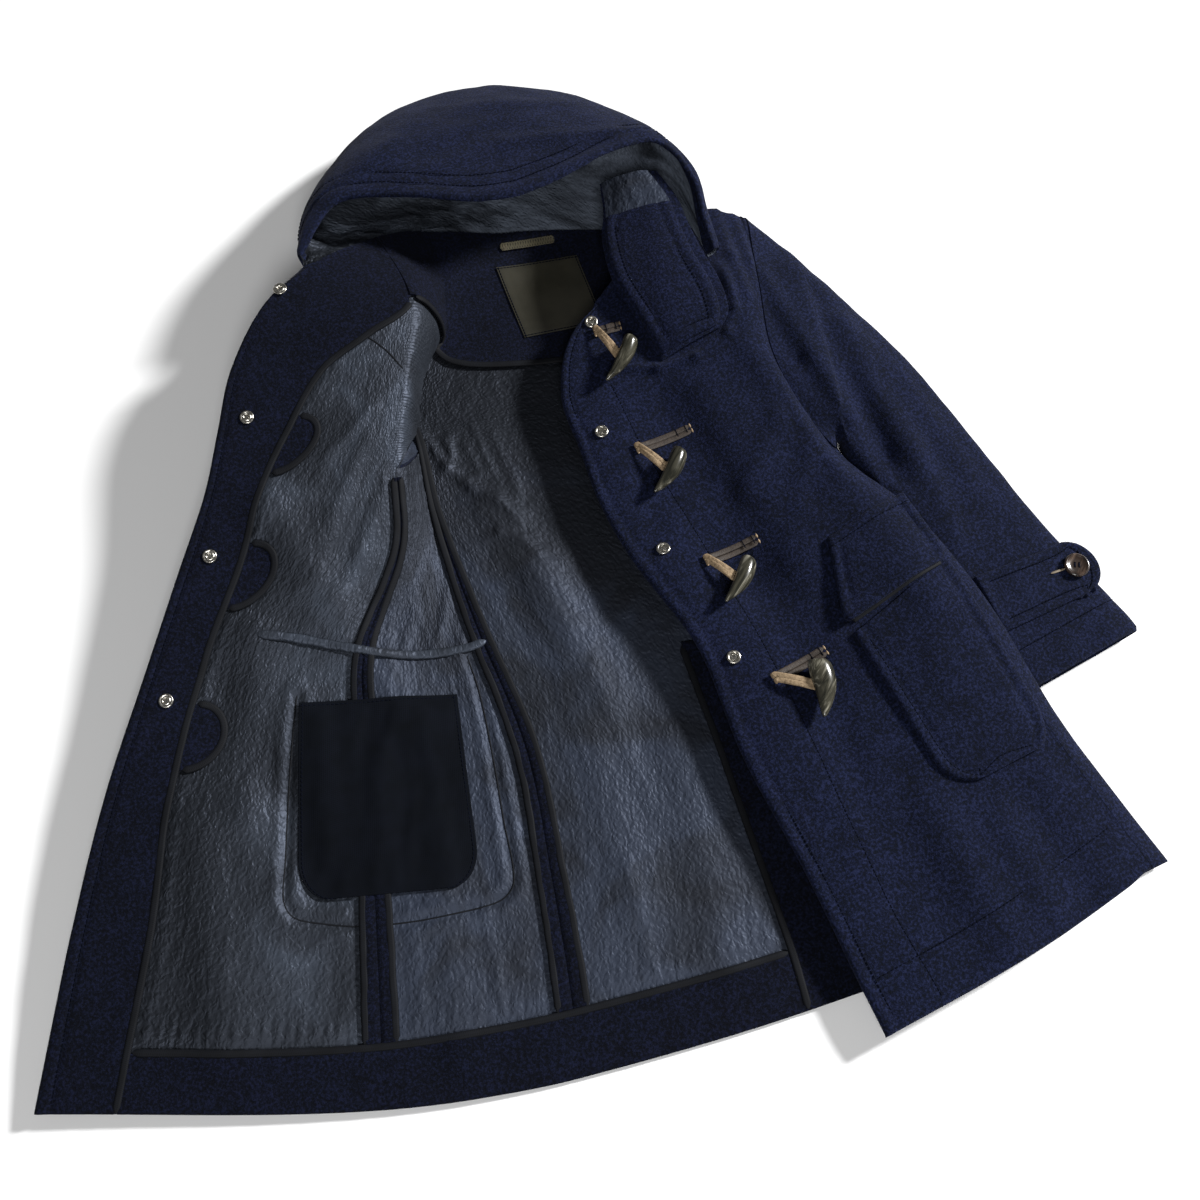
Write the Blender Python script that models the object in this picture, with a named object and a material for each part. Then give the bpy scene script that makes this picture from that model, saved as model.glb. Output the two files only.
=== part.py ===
"""A wool duffle coat laid on its back, its right front turned out, in metres, +Z up.

The hem lies toward -Y and the hood toward +Y. The wearer's left is +X.
Tables and sizes are in millimetres and are turned to metres at the end.
"""
import math

import bmesh
import bpy
import numpy as np

MM = 0.001
SHIFT_X = 61.2          # moves the middle of the laid coat to the origin
SHIFT_Y = -60.8

# Cloth
WOOL = 2.0              # melton wall
SEAM_GAP = 0.3          # between pieces at a seam
LINING = 0.6            # lining film
LINING_TOP = WOOL + SEAM_GAP + LINING
TRIM_LIFT = 0.75        # from the lining to what lies on it
TRIM = 1.8              # turned-up wool, facing and seam allowances
PATCH = 1.0             # cotton patch, stays and label
HEM_DEPTH = 48.0
ALLOWANCE = 14.0        # each side of a seam that is pressed open

# Fastenings
TOGGLE_LENGTH = 50.0
TOGGLE_RADIUS = 7.2
TOGGLE_TIP = 1.8
CORD_RADIUS = 1.9
STRAP_WIDTH = 8.5
STRAP_THICK = 1.6
SNAP_RADIUS = 6.0
SNAP_HEIGHT = 1.6
BUTTON_RADIUS = 11.0
BUTTON_HEIGHT = 3.6

# Lines that run up the coat, by girth from the right front edge along the hem.
EDGE, SIDE_R, CURL_R, BACK_R = 0.0, 254.0, 330.0, 412.0
SPINE, BACK_L, UNDER_L, FOLD_L = 590.0, 770.0, 900.0, 930.0
SIDE_L, CREST_L, CHEST_L, EDGE_L = 952.0, 985.0, 1090.0, 1215.0
SHOULDER_R = 385.0      # the right shoulder seam
GIRTH = (EDGE, SIDE_R, CURL_R, BACK_R, SPINE, BACK_L, UNDER_L, FOLD_L, SIDE_L, CREST_L, CHEST_L,
         EDGE_L)

# Sections across the coat, by length from the hem. The right side is opened flat.
# Each line is x, y, z of the wool's outer face.
RIGHT = (
    # level, edge,           side seam,        curl,             back seam,        spine
    (0, (-556, -260, 8), (-303, -347, 2), (-230, -364, 1), (-152, -376, 0), (37, -389, 0)),
    (48, (-536, -219, 14), (-290, -301, 3), (-216, -316, 1), (-139, -327, 0), (42, -341, 0)),
    (150, (-494, -132, 24), (-265, -201, 7), (-194, -214, 2), (-121, -222, 0), (46, -239, 0)),
    (260, (-445, -39, 33), (-237, -93, 9), (-172, -103, 2), (-106, -108, 0), (50, -128, 0)),
    (370, (-389, 49, 43), (-212, 14, 14), (-158, 14, 5), (-112, 12, 1), (52, -18, 0)),
    (470, (-337, 128, 55), (-155, 97, 28), (-132, 112, 17), (-114, 126, 5), (52, 84, 0)),
    (540, (-300, 183, 64), (-136, 160, 50), (-120, 176, 28), (-108, 192, 8), (52, 155, 0)),
    (600, (-274, 234, 71), (-119, 198, 60), (-110, 203, 26), (-106, 226, 3), (52, 212, 0)),
    (660, (-248, 285, 79), (-99, 244, 68), (-90, 247, 30), (-94, 268, 2), (52, 268, 0)),
    (730, (-205, 334, 88), (-75, 306, 76), (-57, 308, 42), (-50, 314, 10), (52, 334, 0)),
    (790, (-157, 366, 89), (-84, 394, 56), (-54, 404, 40), (-22, 408, 22), (52, 395, 4)),
)
# The left side is folded over: back, fold and the front that lies on top.
LEFT = (
    # level, back seam,     under,            fold,            side seam,        crest,
    #        chest,            edge
    (0, (221, -392, 0), (330, -382, 0), (363, -379, 7), (345, -380, 15), (318, -388, 17),
     (210, -412, 20), (84, -429, 23)),
    (48, (221, -346, 0), (322, -337, 0), (352, -333, 8), (334, -332, 17), (306, -338, 20),
     (204, -364, 24), (80, -383, 25)),
    (150, (220, -250, 0), (305, -240, 13), (327, -238, 22), (309, -236, 34), (282, -238, 37),
     (192, -266, 31), (73, -287, 27)),
    (260, (219, -148, 0), (285, -132, 28), (310, -128, 38), (293, -128, 47), (266, -132, 50),
     (180, -158, 38), (61, -183, 29)),
    (370, (220, -50, 0), (262, -32, 26), (285, -28, 38), (272, -28, 49), (248, -36, 53),
     (170, -60, 40), (60, -80, 30)),
    (470, (221, 22, 0), (245, 20, 16), (259, 24, 30), (250, 26, 42), (232, 24, 51),
     (150, 26, 40), (36, 12, 30)),
    (540, (226, 66, 0), (244, 58, 8), (252, 58, 18), (243, 60, 30), (222, 66, 49),
     (130, 78, 38), (27, 78, 30)),
    (600, (224, 122, 0), (230, 118, 8), (236, 116, 20), (231, 116, 37), (216, 116, 50),
     (122, 132, 38), (28, 135, 30)),
    (660, (222, 178, 0), (226, 174, 10), (231, 170, 26), (228, 170, 43), (213, 174, 52),
     (120, 186, 40), (30, 192, 32)),
    (730, (238, 246, 0), (244, 243, 14), (248, 238, 30), (243, 236, 45), (217, 240, 54),
     (136, 238, 44), (58, 246, 38)),
    (790, (254, 322, 12), (263, 321, 19), (268, 318, 26), (263, 317, 34), (222, 337, 42),
     (172, 328, 46), (108, 275, 44)),
)
# Soft folds of the cloth: a ridge line, its height and half width.
FOLDS = (
    # x0, y0, x1, y1, height, width
    (-250, 150, -190, -60, 5.0, 22.0),
    (-330, 20, -300, -170, -4.0, 26.0),
    (-60, 120, -20, -90, 4.0, 20.0),
    (-40, 40, -60, -260, 3.5, 24.0),
    (20, -150, -10, -330, 3.0, 22.0),
    (-380, -90, -400, -250, 4.0, 24.0),
    (-200, -150, -230, -330, 2.5, 18.0),
)
TOP_FOLDS = (
    (150, 150, 170, -40, 3.0, 24.0),
    (110, -60, 130, -300, 3.5, 26.0),
    (190, -280, 210, -400, 4.0, 24.0),
    (270, -290, 290, -390, -3.0, 18.0),
    (90, 120, 60, 20, -2.5, 16.0),
    (225, 250, 195, 215, 3.0, 9.0),
    (226, 240, 212, 90, 4.0, 14.0),
)
# The facing's inner edge, as a share of the way from the right front edge to the ridge.
FACING = ((0, 0.235), (48, 0.242), (150, 0.262), (260, 0.245), (370, 0.25), (470, 0.255),
          (540, 0.275), (600, 0.34), (660, 0.45), (700, 0.68), (730, 0.99), (790, 0.99))
# The neck facing's lower edge: girth and level.
NECK_FACING = ((254, 731), (319, 728), (385, 724), (420, 712), (455, 694), (490, 668), (530, 648),
               (570, 636), (610, 631), (660, 632), (720, 636))
# Hood: for each station round it, points of the pouch that lies on its back.
HOOD = (
    # neck,            floor,           crown,           roof,            brim
    ((-157, 366, 89), (-158, 372, 88), (-159, 376, 92), (-158, 375, 97), (-156, 371, 100)),
    ((-118, 388, 72), (-124, 416, 46), (-142, 446, 52), (-133, 430, 92), (-117, 411, 102)),
    ((-82, 399, 52), (-88, 446, 24), (-95, 503, 46), (-90, 462, 94), (-80, 409, 106)),
    ((-33, 412, 26), (-36, 474, 3), (-38, 542, 42), (-36, 476, 94), (-32, 388, 109)),
    ((10, 404, 12), (14, 478, 0), (18, 555, 40), (14, 474, 92), (10, 369, 109)),
    ((50, 401, 6), (62, 474, 0), (80, 546, 40), (64, 472, 90), (48, 362, 109)),
    ((88, 398, 8), (104, 462, 2), (130, 521, 42), (112, 457, 90), (88, 366, 109)),
    ((120, 394, 10), (136, 440, 8), (167, 487, 46), (146, 440, 90), (128, 379, 107)),
    ((167, 358, 24), (182, 396, 22), (198, 438, 56), (183, 417, 90), (168, 387, 102)),
    ((187, 346, 42), (197, 378, 49), (212, 400, 65), (208, 393, 84), (199, 386, 92)),
    ((196, 339, 50), (210, 350, 53), (222, 357, 66), (222, 352, 77), (216, 348, 85)),
    ((203, 306, 54), (212, 309, 55), (219, 311, 62), (218, 310, 70), (213, 308, 75)),
    ((204, 270, 58), (211, 272, 58), (216, 274, 62), (215, 273, 67), (210, 271, 70)),
)
# Left front corner of the hood, turned out on the chest: the outer layer's two side lines.
FLAP = (
    # left,           right
    ((129, 189, 42.4), (190, 199, 52.6)),
    ((124, 204, 44.5), (202, 213, 57)),
    ((118, 240, 51), (204, 243, 62)),
    ((112, 281, 54), (199, 275, 66)),
    ((118, 325, 54), (198, 312, 67)),
    ((129, 352, 56), (198, 338, 68)),
    ((137, 384, 58), (190, 372, 70)),
)
FLAP_INSET = 9.0
# Left sleeve: its two sides, its depth and how high its underside lies.
SLEEVE_L = (
    # outer side,  inner side,   depth, underside
    ((288, 279), (257, 67), 42, 0.0),
    ((305, 240), (259, 46), 36, 0.0),
    ((336, 172), (270, 10), 31, 0.0),
    ((356, 118), (276, -30), 28, 0.0),
    ((371, 58), (280, -72), 25, 0.0),
    ((387, -15), (286, -118), 23, 0.0),
    ((405, -90), (292, -160), 22, 0.0),
    ((422, -146), (296, -190), 21, 0.0),
    ((434, -189), (300, -212), 20, 0.0),
)
# Ridges of the left sleeve's upper side.
SLEEVE_FOLDS = (
    (262, 220, 276, 90, 4.0, 14.0),
    (300, 232, 330, 60, 3.5, 16.0),
    (276, 90, 300, 20, -2.5, 12.0),
)
CUFF_TAB = ((314, -99), (423, -95), (426, -144), (317, -155))
TAB_ON = 388.0          # the tab leaves the sleeve's top here and stands out past its side
TAB_ROUND = 22.0
BUTTON = (403, -120)
FLAP_POCKET = ((183, -109), (290, -82), (279, -12), (200, -30))
POCKET = ((212, -271), (313, -258), (290, -84), (188, -118))
COTTON = ((-322, -172), (-177, -208), (-147, -44), (-276, -12))
LABEL = ((22, 277), (100, 268), (100, 349), (20, 361))
LOOP = ((31, 377), (85, 369), (85, 378), (31, 386))
VENT_TOP = 325.0
VENT_WIDTH = 45.0
# Right sleeve, hidden under the right front.
SLEEVE_R = (
    # outer side,   inner side,   depth, underside
    ((-83.2, 306), (-117.2, 204), 22, 0.0),
    ((-162, 300), (-152, 192), 24, 0.0),
    ((-242, 250), (-182, 138), 25, 0.0),
    ((-320, 150), (-222, 78), 21, 0.0),
    ((-372, 60), (-268, -4), 17, 0.0),
    ((-416, -28), (-314, -88), 14, 0.0),
    ((-446, -104), (-350, -160), 12, 0.0),
)
# Toggles on the left front: where each strap is sewn, where it turns back, the two ends.
TOGGLES = (
    # sewn,         turn,       broad end,   tip
    ((104, 238), (82, 240), (109, 216), (73, 184)),
    ((129, 118), (78, 115), (113, 97), (74, 63)),
    ((145, -5), (97, -9), (131, -23), (96, -55)),
    ((160, -122), (111, -131), (150, -129), (136, -179)),
)
SNAPS_R = ((-183, 345), (-245, 238), (-310, 128), (-378, 20))
SNAPS_L = ((81, 252), (52, 142), (64, 14), (85, -101))
# Half-moon stays along the facing: level of the middle, half height and reach.
STAYS = ((582, 30.0, 38.0), (456, 30.0, 38.0), (308, 30.0, 40.0))


def smooth(knots, values, where, calm=False):
    """Curve through values at uneven knots; a calm one never runs past its knots."""
    count = len(knots)
    i = int(np.clip(np.searchsorted(knots, where, side="right") - 1, 0, count - 2))
    span = knots[i + 1] - knots[i]
    share = (where - knots[i]) / span

    def slope(k):
        a = max(k - 1, 0)
        b = min(k + 1, count - 1)
        if not calm or a == k or b == k:
            return (values[b] - values[a]) / (knots[b] - knots[a])
        before = (values[k] - values[a]) / (knots[k] - knots[a])
        after = (values[b] - values[k]) / (knots[b] - knots[k])
        both = before + after
        safe = np.where(np.abs(both) < 1e-9, 1.0, both)
        return np.where(before * after > 0.0, 2.0 * before * after / safe, 0.0)

    start = slope(i) * span
    finish = slope(i + 1) * span
    square = share * share
    cube = square * share
    return ((2 * cube - 3 * square + 1) * values[i] + (cube - 2 * square + share) * start
            + (3 * square - 2 * cube) * values[i + 1] + (cube - square) * finish)


LEVELS = np.array([row[0] for row in RIGHT], float)
BODY = np.array([list(right[1:]) + list(left[1:]) for right, left in zip(RIGHT, LEFT)], float)


def fold_lift(folds, x, y):
    """Height added by soft folds at a point."""
    total = 0.0
    for x0, y0, x1, y1, height, width in folds:
        dx = x1 - x0
        dy = y1 - y0
        length2 = dx * dx + dy * dy
        along = ((x - x0) * dx + (y - y0) * dy) / length2
        nearest = min(max(along, 0.0), 1.0)
        away = math.hypot(x - x0 - nearest * dx, y - y0 - nearest * dy)
        total += height * math.exp(-(away / width) ** 2)
    return total


def body_point(girth, level):
    """A point of the coat's outer face, by girth from the right edge and length from the hem."""
    across = np.array([smooth(LEVELS, BODY[:, k], level) for k in range(len(GIRTH))])
    point = smooth(np.array(GIRTH), across, girth, calm=True)
    if girth < BACK_L:
        fade = min(1.0, (BACK_L - girth) / 120.0)
        point[2] += fade * fold_lift(FOLDS, point[0], point[1])
    if girth > CREST_L:
        fade = min(1.0, (girth - CREST_L) / 40.0)
        point[2] += fade * fold_lift(TOP_FOLDS, point[0], point[1])
    point[2] = max(point[2], 0.0)
    return point


def grid_normals(points):
    """Unit normals over a grid, from the lines through each point."""
    across = np.gradient(points, axis=0)
    along = np.gradient(points, axis=1)
    normals = np.cross(along, across)
    length = np.linalg.norm(normals, axis=2, keepdims=True)
    return normals / np.maximum(length, 1e-9)


class Panel:
    """A grid of points on the cloth's outer face, with normals that point out of the coat."""

    def __init__(self, points, normals=None, girths=None, levels=None):
        self.points = points
        self.normals = grid_normals(points) if normals is None else normals
        self.girths = girths
        self.levels = levels

    def sample(self, girth, level):
        """The point and normal of the panel's faces at a girth and level."""
        rows = len(self.levels)
        j = int(np.clip(np.searchsorted(self.levels, level, side="right") - 1, 0, rows - 2))
        b = (level - self.levels[j]) / (self.levels[j + 1] - self.levels[j])
        line = self.girths[:, j] * (1.0 - b) + self.girths[:, j + 1] * b
        i = int(np.clip(np.searchsorted(line, girth, side="right") - 1, 0, len(line) - 2))
        a = min(max((girth - line[i]) / (line[i + 1] - line[i]), 0.0), 1.0)
        if a >= b:
            weights = (((i, j), 1.0 - a), ((i + 1, j), a - b), ((i + 1, j + 1), b))
        else:
            weights = (((i, j), 1.0 - b), ((i, j + 1), b - a), ((i + 1, j + 1), a))
        point = sum(w * self.points[p] for p, w in weights)
        normal = sum(w * self.normals[p] for p, w in weights)
        return point, normal / np.linalg.norm(normal)

    def find(self, x, y):
        """The point and normal of the panel's faces at a place in plan."""
        best = None
        count_a, count_b = self.points.shape[:2]
        for i in range(count_a - 1):
            for j in range(count_b - 1):
                corners = ((i, j), (i + 1, j), (i + 1, j + 1), (i, j + 1))
                for three in ((0, 1, 2), (0, 2, 3)):
                    picked = [corners[k] for k in three]
                    a, b, c = (self.points[p] for p in picked)
                    det = (b[0] - a[0]) * (c[1] - a[1]) - (c[0] - a[0]) * (b[1] - a[1])
                    if abs(det) < 1e-9:
                        continue
                    u = ((x - a[0]) * (c[1] - a[1]) - (c[0] - a[0]) * (y - a[1])) / det
                    v = ((b[0] - a[0]) * (y - a[1]) - (x - a[0]) * (b[1] - a[1])) / det
                    miss = max(-u, -v, u + v - 1.0, 0.0)
                    if best is None or miss < best[0]:
                        best = (miss, picked, u, v)
        picked, u, v = best[1:]
        weights = (1.0 - u - v, u, v)
        point = sum(w * self.points[p] for w, p in zip(weights, picked))
        normal = sum(w * self.normals[p] for w, p in zip(weights, picked))
        return point, normal / np.linalg.norm(normal)


def body_panel(levels, start, finish, count, columns=None):
    """A panel of the body between two girth lines, which may change with the level."""
    points = np.zeros((count + 1, len(levels), 3))
    normals = np.zeros_like(points)
    girths = np.zeros((count + 1, len(levels)))
    for j, level in enumerate(levels):
        first = start(level) if callable(start) else start
        last = finish(level) if callable(finish) else finish
        line = np.linspace(first, last, count + 1) if columns is None else columns(level)
        for i, girth in enumerate(line):
            girths[i, j] = girth
            points[i, j] = body_point(girth, level)
            step = 3.0
            low = max(girth - step, 0.0)
            high = min(girth + step, EDGE_L)
            if ARM + 1.0 < level < SHOULDER and girth < SPINE:
                if girth == line[0] and girth > EDGE:
                    low = girth
                    high = girth + 14.0
                if girth == line[-1]:
                    low = girth - 14.0
                    high = girth
            up = min(level + step, LEVELS[-1])
            down = max(level - step, 0.0)
            across = body_point(high, level) - body_point(low, level)
            along = body_point(girth, up) - body_point(girth, down)
            normal = np.cross(along, across)
            if points[i, j, 2] < 0.01:
                normal = np.array((0.0, 0.0, -1.0))
            normals[i, j] = normal / np.linalg.norm(normal)
    soft = normals.copy()
    soft[1:-1] = normals[1:-1] * 2.0 + normals[:-2] + normals[2:]
    soft[1:-1, 1:-1] += normals[1:-1, :-2] + normals[1:-1, 2:]
    for j, level in enumerate(levels):
        if ARM + 1.0 < level < SHOULDER and EDGE < girths[0, j] < SPINE:
            soft[0, j] += 6.0 * normals[1, j]
    soft /= np.linalg.norm(soft, axis=2, keepdims=True)
    normals = np.where(points[:, :, 2:] < 0.01, normals, soft)
    return Panel(points, normals, girths, np.array(levels))


def trimmed(panel, sides="abcd", gap=SEAM_GAP):
    """The panel with its named sides drawn in by half a seam gap."""
    points = panel.points.copy()

    def pull(edge, inner):
        step = inner - edge
        return edge + step / np.linalg.norm(step, axis=-1, keepdims=True) * gap / 2.0

    if "a" in sides:
        points[0] = pull(panel.points[0], panel.points[1])
    if "b" in sides:
        points[-1] = pull(panel.points[-1], panel.points[-2])
    if "c" in sides:
        points[:, 0] = pull(points[:, 0], points[:, 1])
    if "d" in sides:
        points[:, -1] = pull(points[:, -1], points[:, -2])
    return Panel(points, panel.normals)


def cloth(name, panel, outer, inner, look, closed=False):
    """A wall between two distances from a panel's outer face, positive out of the coat."""
    count_a, count_b = panel.points.shape[:2]
    mesh = bpy.data.meshes.new(name)
    build = bmesh.new()
    layers = []
    for depth in (outer, inner):
        moved = panel.points + panel.normals * depth
        layers.append([[build.verts.new(place(moved[i, j])) for j in range(count_b)]
                       for i in range(count_a)])
    top, low = layers

    def quad(a, b, c, d):
        build.faces.new((a, b, c))
        build.faces.new((a, c, d))

    spans = count_a if closed else count_a - 1
    for i in range(spans):
        n = (i + 1) % count_a
        for j in range(count_b - 1):
            quad(top[i][j], top[n][j], top[n][j + 1], top[i][j + 1])
            build.faces.new((low[i][j], low[n][j + 1], low[n][j]))
            build.faces.new((low[i][j], low[i][j + 1], low[n][j + 1]))
        quad(top[n][0], top[i][0], low[i][0], low[n][0])
        quad(top[i][-1], top[n][-1], low[n][-1], low[i][-1])
    if not closed:
        for j in range(count_b - 1):
            quad(top[0][j], top[0][j + 1], low[0][j + 1], low[0][j])
            quad(top[-1][j + 1], top[-1][j], low[-1][j], low[-1][j + 1])
    bmesh.ops.recalc_face_normals(build, faces=build.faces[:])
    build.to_mesh(mesh)
    build.free()
    return add(name, mesh, look)


def place(point):
    """Millimetres of the tables to metres about the part's origin."""
    return ((point[0] + SHIFT_X) * MM, (point[1] + SHIFT_Y) * MM, point[2] * MM)


def add(name, mesh, look):
    mesh.materials.append(look)
    piece = bpy.data.objects.new(name, mesh)
    COAT.objects.link(piece)
    return piece


def material(name, colour, roughness, metallic=0.0):
    look = bpy.data.materials.new(name)
    look.use_nodes = True
    shader = look.node_tree.nodes["Principled BSDF"]
    shader.inputs["Base Color"].default_value = (*colour, 1.0)
    shader.inputs["Roughness"].default_value = roughness
    shader.inputs["Metallic"].default_value = metallic
    look.diffuse_color = (*colour, 1.0)
    return look


def patch(name, panel, corners, count, outer, inner, look, bulge=0.0, slope=0.0, rounding=None):
    """A piece on a panel: a grid between four corners in plan, lying on the panel's faces.

    Slope is how much further from the panel its lower edge stands. Rounding is the share of
    the half width that each lower corner takes, and of the length.
    """
    points = np.zeros((count[0] + 1, count[1] + 1, 3))
    normals = np.zeros_like(points)
    a, b, c, d = (np.array(corner, float) for corner in corners)
    for i in range(count[0] + 1):
        u = i / count[0]
        for j in range(count[1] + 1):
            v = (j / count[1]) ** (1.0 if rounding is None else 1.4)
            side = u
            if rounding is not None and v < rounding[2]:
                turn = (rounding[2] - v) / rounding[2]
                share = rounding[0] if u < 0.5 else rounding[1]
                side = 0.5 + (u - 0.5) * (1.0 - share * (1.0 - math.sqrt(1.0 - turn * turn)))
            spot = (a * (1 - side) + b * side) * (1 - v) + (d * (1 - side) + c * side) * v
            point, normal = panel.find(spot[0], spot[1])
            lift = bulge * math.sin(math.pi * u) * math.sin(math.pi * v) + slope * (1.0 - v)
            points[i, j] = point + normal * lift
            normals[i, j] = normal
    return cloth(name, Panel(points, normals), outer, inner, look)


def tube(sides, depth_at, count, flat=0.62):
    """Rings of a flattened tube that lies on z = 0, from its two side lines."""
    rings = len(sides)
    points = np.zeros((count, rings, 3))
    for j, (outer_side, inner_side, depth, under) in enumerate(sides):
        middle = (np.array(outer_side, float) + np.array(inner_side, float)) / 2.0
        half = (np.array(outer_side, float) - np.array(inner_side, float)) / 2.0
        for i in range(count):
            angle = depth_at[i]
            width = math.copysign(abs(math.cos(angle)) ** flat, math.cos(angle))
            height = math.sin(angle)
            shape = math.copysign(abs(height) ** 0.8, height)
            spot = middle + half * width
            z = under + depth / 2.0 * (1.0 + shape)
            points[i, j] = (spot[0], spot[1], z)
    return points


def ring_normals(points):
    """Outward normals of a closed tube, from its neighbours round and along it."""
    around = np.roll(points, -1, axis=0) - np.roll(points, 1, axis=0)
    along = np.gradient(points, axis=1)
    normals = np.cross(around, along)
    normals = normals / np.maximum(np.linalg.norm(normals, axis=2, keepdims=True), 1e-9)
    middle = points.mean(axis=0, keepdims=True)
    if ((points - middle) * normals).sum() < 0.0:
        normals = -normals
    flat = points[:, :, 2] < 0.05
    normals[flat] = (0.0, 0.0, -1.0)
    return normals


def toggle(index, panel, spots, look_horn, look_cord, look_strap):
    """A horn toggle held by a folded strap whose pale side turns up at the fold."""
    sewn, turn, broad, tip = (np.array(spot, float) for spot in spots)
    lift = TOGGLE_RADIUS + STRAP_THICK * 2.0 + 1.2
    ends = []
    for spot in (broad, tip):
        point, normal = panel.find(spot[0], spot[1])
        ends.append(point + np.array((0.0, 0.0, lift)))
    axis = ends[1] - ends[0]
    axis = axis / np.linalg.norm(axis)
    middle = (ends[0] + ends[1]) / 2.0
    start = middle - axis * TOGGLE_LENGTH / 2.0
    rings = (
        # share of the length, radius
        (0.0, 0.86), (0.04, 1.0), (0.30, 0.93), (0.40, 0.86), (0.43, 0.66), (0.51, 0.63),
        (0.54, 0.76), (0.75, 0.52), (0.96, 0.26), (1.0, 0.14),
    )
    side = np.cross(axis, (0.0, 0.0, 1.0))
    side = side / np.linalg.norm(side)
    rise = np.cross(side, axis)
    mesh = bpy.data.meshes.new("toggle_%d" % index)
    build = bmesh.new()
    loops = []
    sides = 12
    for share, radius in rings:
        centre = start + axis * TOGGLE_LENGTH * share
        loop = []
        for k in range(sides):
            angle = 2.0 * math.pi * k / sides
            spot = centre + (side * math.cos(angle) + rise * math.sin(angle)) * radius * TOGGLE_RADIUS
            loop.append(build.verts.new(place(spot)))
        loops.append(loop)
    for first, second in zip(loops, loops[1:]):
        for k in range(sides):
            n = (k + 1) % sides
            build.faces.new((first[k], first[n], second[n], second[k]))
    build.faces.new(loops[0][::-1])
    build.faces.new(loops[-1])
    bmesh.ops.recalc_face_normals(build, faces=build.faces[:])
    build.to_mesh(mesh)
    build.free()
    add("toggle_%d" % index, mesh, look_horn)
    waist = start + axis * TOGGLE_LENGTH * 0.47
    strap_piece("toggle_strap_%d" % index, panel, sewn, turn, 0.35, look_strap)
    cord_piece("toggle_cord_%d" % index, panel, turn, waist, axis, look_cord)


def strap_piece(name, panel, start, finish, lift, look):
    """A flat strap along the front, between two places in plan."""
    run = finish - start
    across = np.array((-run[1], run[0])) / np.linalg.norm(run) * STRAP_WIDTH / 2.0
    steps = 4
    points = np.zeros((3, steps + 1, 3))
    normals = np.zeros_like(points)
    for j in range(steps + 1):
        for i in range(3):
            spot = start + run * j / steps + across * (i - 1)
            points[i, j], normals[i, j] = panel.find(spot[0], spot[1])
            normals[i, j] = (0.0, 0.0, 1.0)
    high = points[:, :, 2].max(axis=0)
    points[:, :, 2] = high
    return cloth(name, Panel(points, normals), lift + STRAP_THICK, lift, look)


def cord_piece(name, panel, turn, waist, axis, look):
    """The strap's second run: two thin cords side by side, from the turn to the toggle's waist."""
    base, normal = panel.find(turn[0], turn[1])
    start = base + np.array((0.0, 0.0, 0.35 + STRAP_THICK + 0.45 + CORD_RADIUS))
    run = waist - start
    length = np.linalg.norm(run)
    run = run / length
    lean = abs(float(np.dot(run, axis)))
    reach = 0.96 * TOGGLE_RADIUS - 0.35 + 2.0 * CORD_RADIUS * lean
    finish = waist - run * (reach / math.sqrt(1.0 - lean * lean))
    side = np.cross(run, (0.0, 0.0, 1.0))
    side = side / np.linalg.norm(side)
    rise = np.cross(side, run)
    mesh = bpy.data.meshes.new(name)
    build = bmesh.new()
    outline = []
    for centre in (-1.0, 1.0):
        for k in range(7):
            angle = -math.pi / 2.0 + math.pi * k / 6.0
            outline.append((centre * (CORD_RADIUS * 0.92 + math.cos(angle) * CORD_RADIUS),
                            centre * math.sin(angle) * CORD_RADIUS))
    loops = []
    steps = 5
    for j in range(steps + 1):
        spot = start + (finish - start) * j / steps
        spot = spot + rise * 1.2 * math.sin(math.pi * j / steps)
        loops.append([build.verts.new(place(spot + side * a + rise * b)) for a, b in outline])
    count = len(outline)
    for first, second in zip(loops, loops[1:]):
        for k in range(count):
            n = (k + 1) % count
            build.faces.new((first[k], first[n], second[n], second[k]))
    build.faces.new(loops[0][::-1])
    build.faces.new(loops[-1])
    bmesh.ops.recalc_face_normals(build, faces=build.faces[:])
    build.to_mesh(mesh)
    build.free()
    return add(name, mesh, look)


def disc(name, point, normal, lift, radius, height, look, sides=16):
    """A low round piece standing on a surface."""
    build = bmesh.new()
    bmesh.ops.create_cone(build, cap_ends=True, segments=sides, radius1=radius * MM,
                          radius2=radius * 0.9 * MM, depth=height * MM)
    mesh = bpy.data.meshes.new(name)
    build.to_mesh(mesh)
    build.free()
    piece = add(name, mesh, look)
    centre = point + normal * (lift + height / 2.0)
    piece.location = place(centre)
    up = np.array(normal)
    tilt = math.acos(max(-1.0, min(1.0, up[2])))
    turn = math.atan2(up[1], up[0])
    piece.rotation_euler = (0.0, tilt, turn)
    return piece


def levels_between(first, last, step):
    """Even levels from first to last, no further apart than step."""
    count = max(1, int(math.ceil((last - first) / step)))
    return [first + (last - first) * k / count for k in range(count + 1)]


def ramp(level, low, high, start, finish):
    """A line that moves from start to finish between two levels."""
    share = min(max((level - low) / (high - low), 0.0), 1.0)
    return start + (finish - start) * share


for old in list(bpy.data.objects):
    bpy.data.objects.remove(old, do_unlink=True)
COAT = bpy.data.collections.new("duffle_coat")
bpy.context.scene.collection.children.link(COAT)

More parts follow.
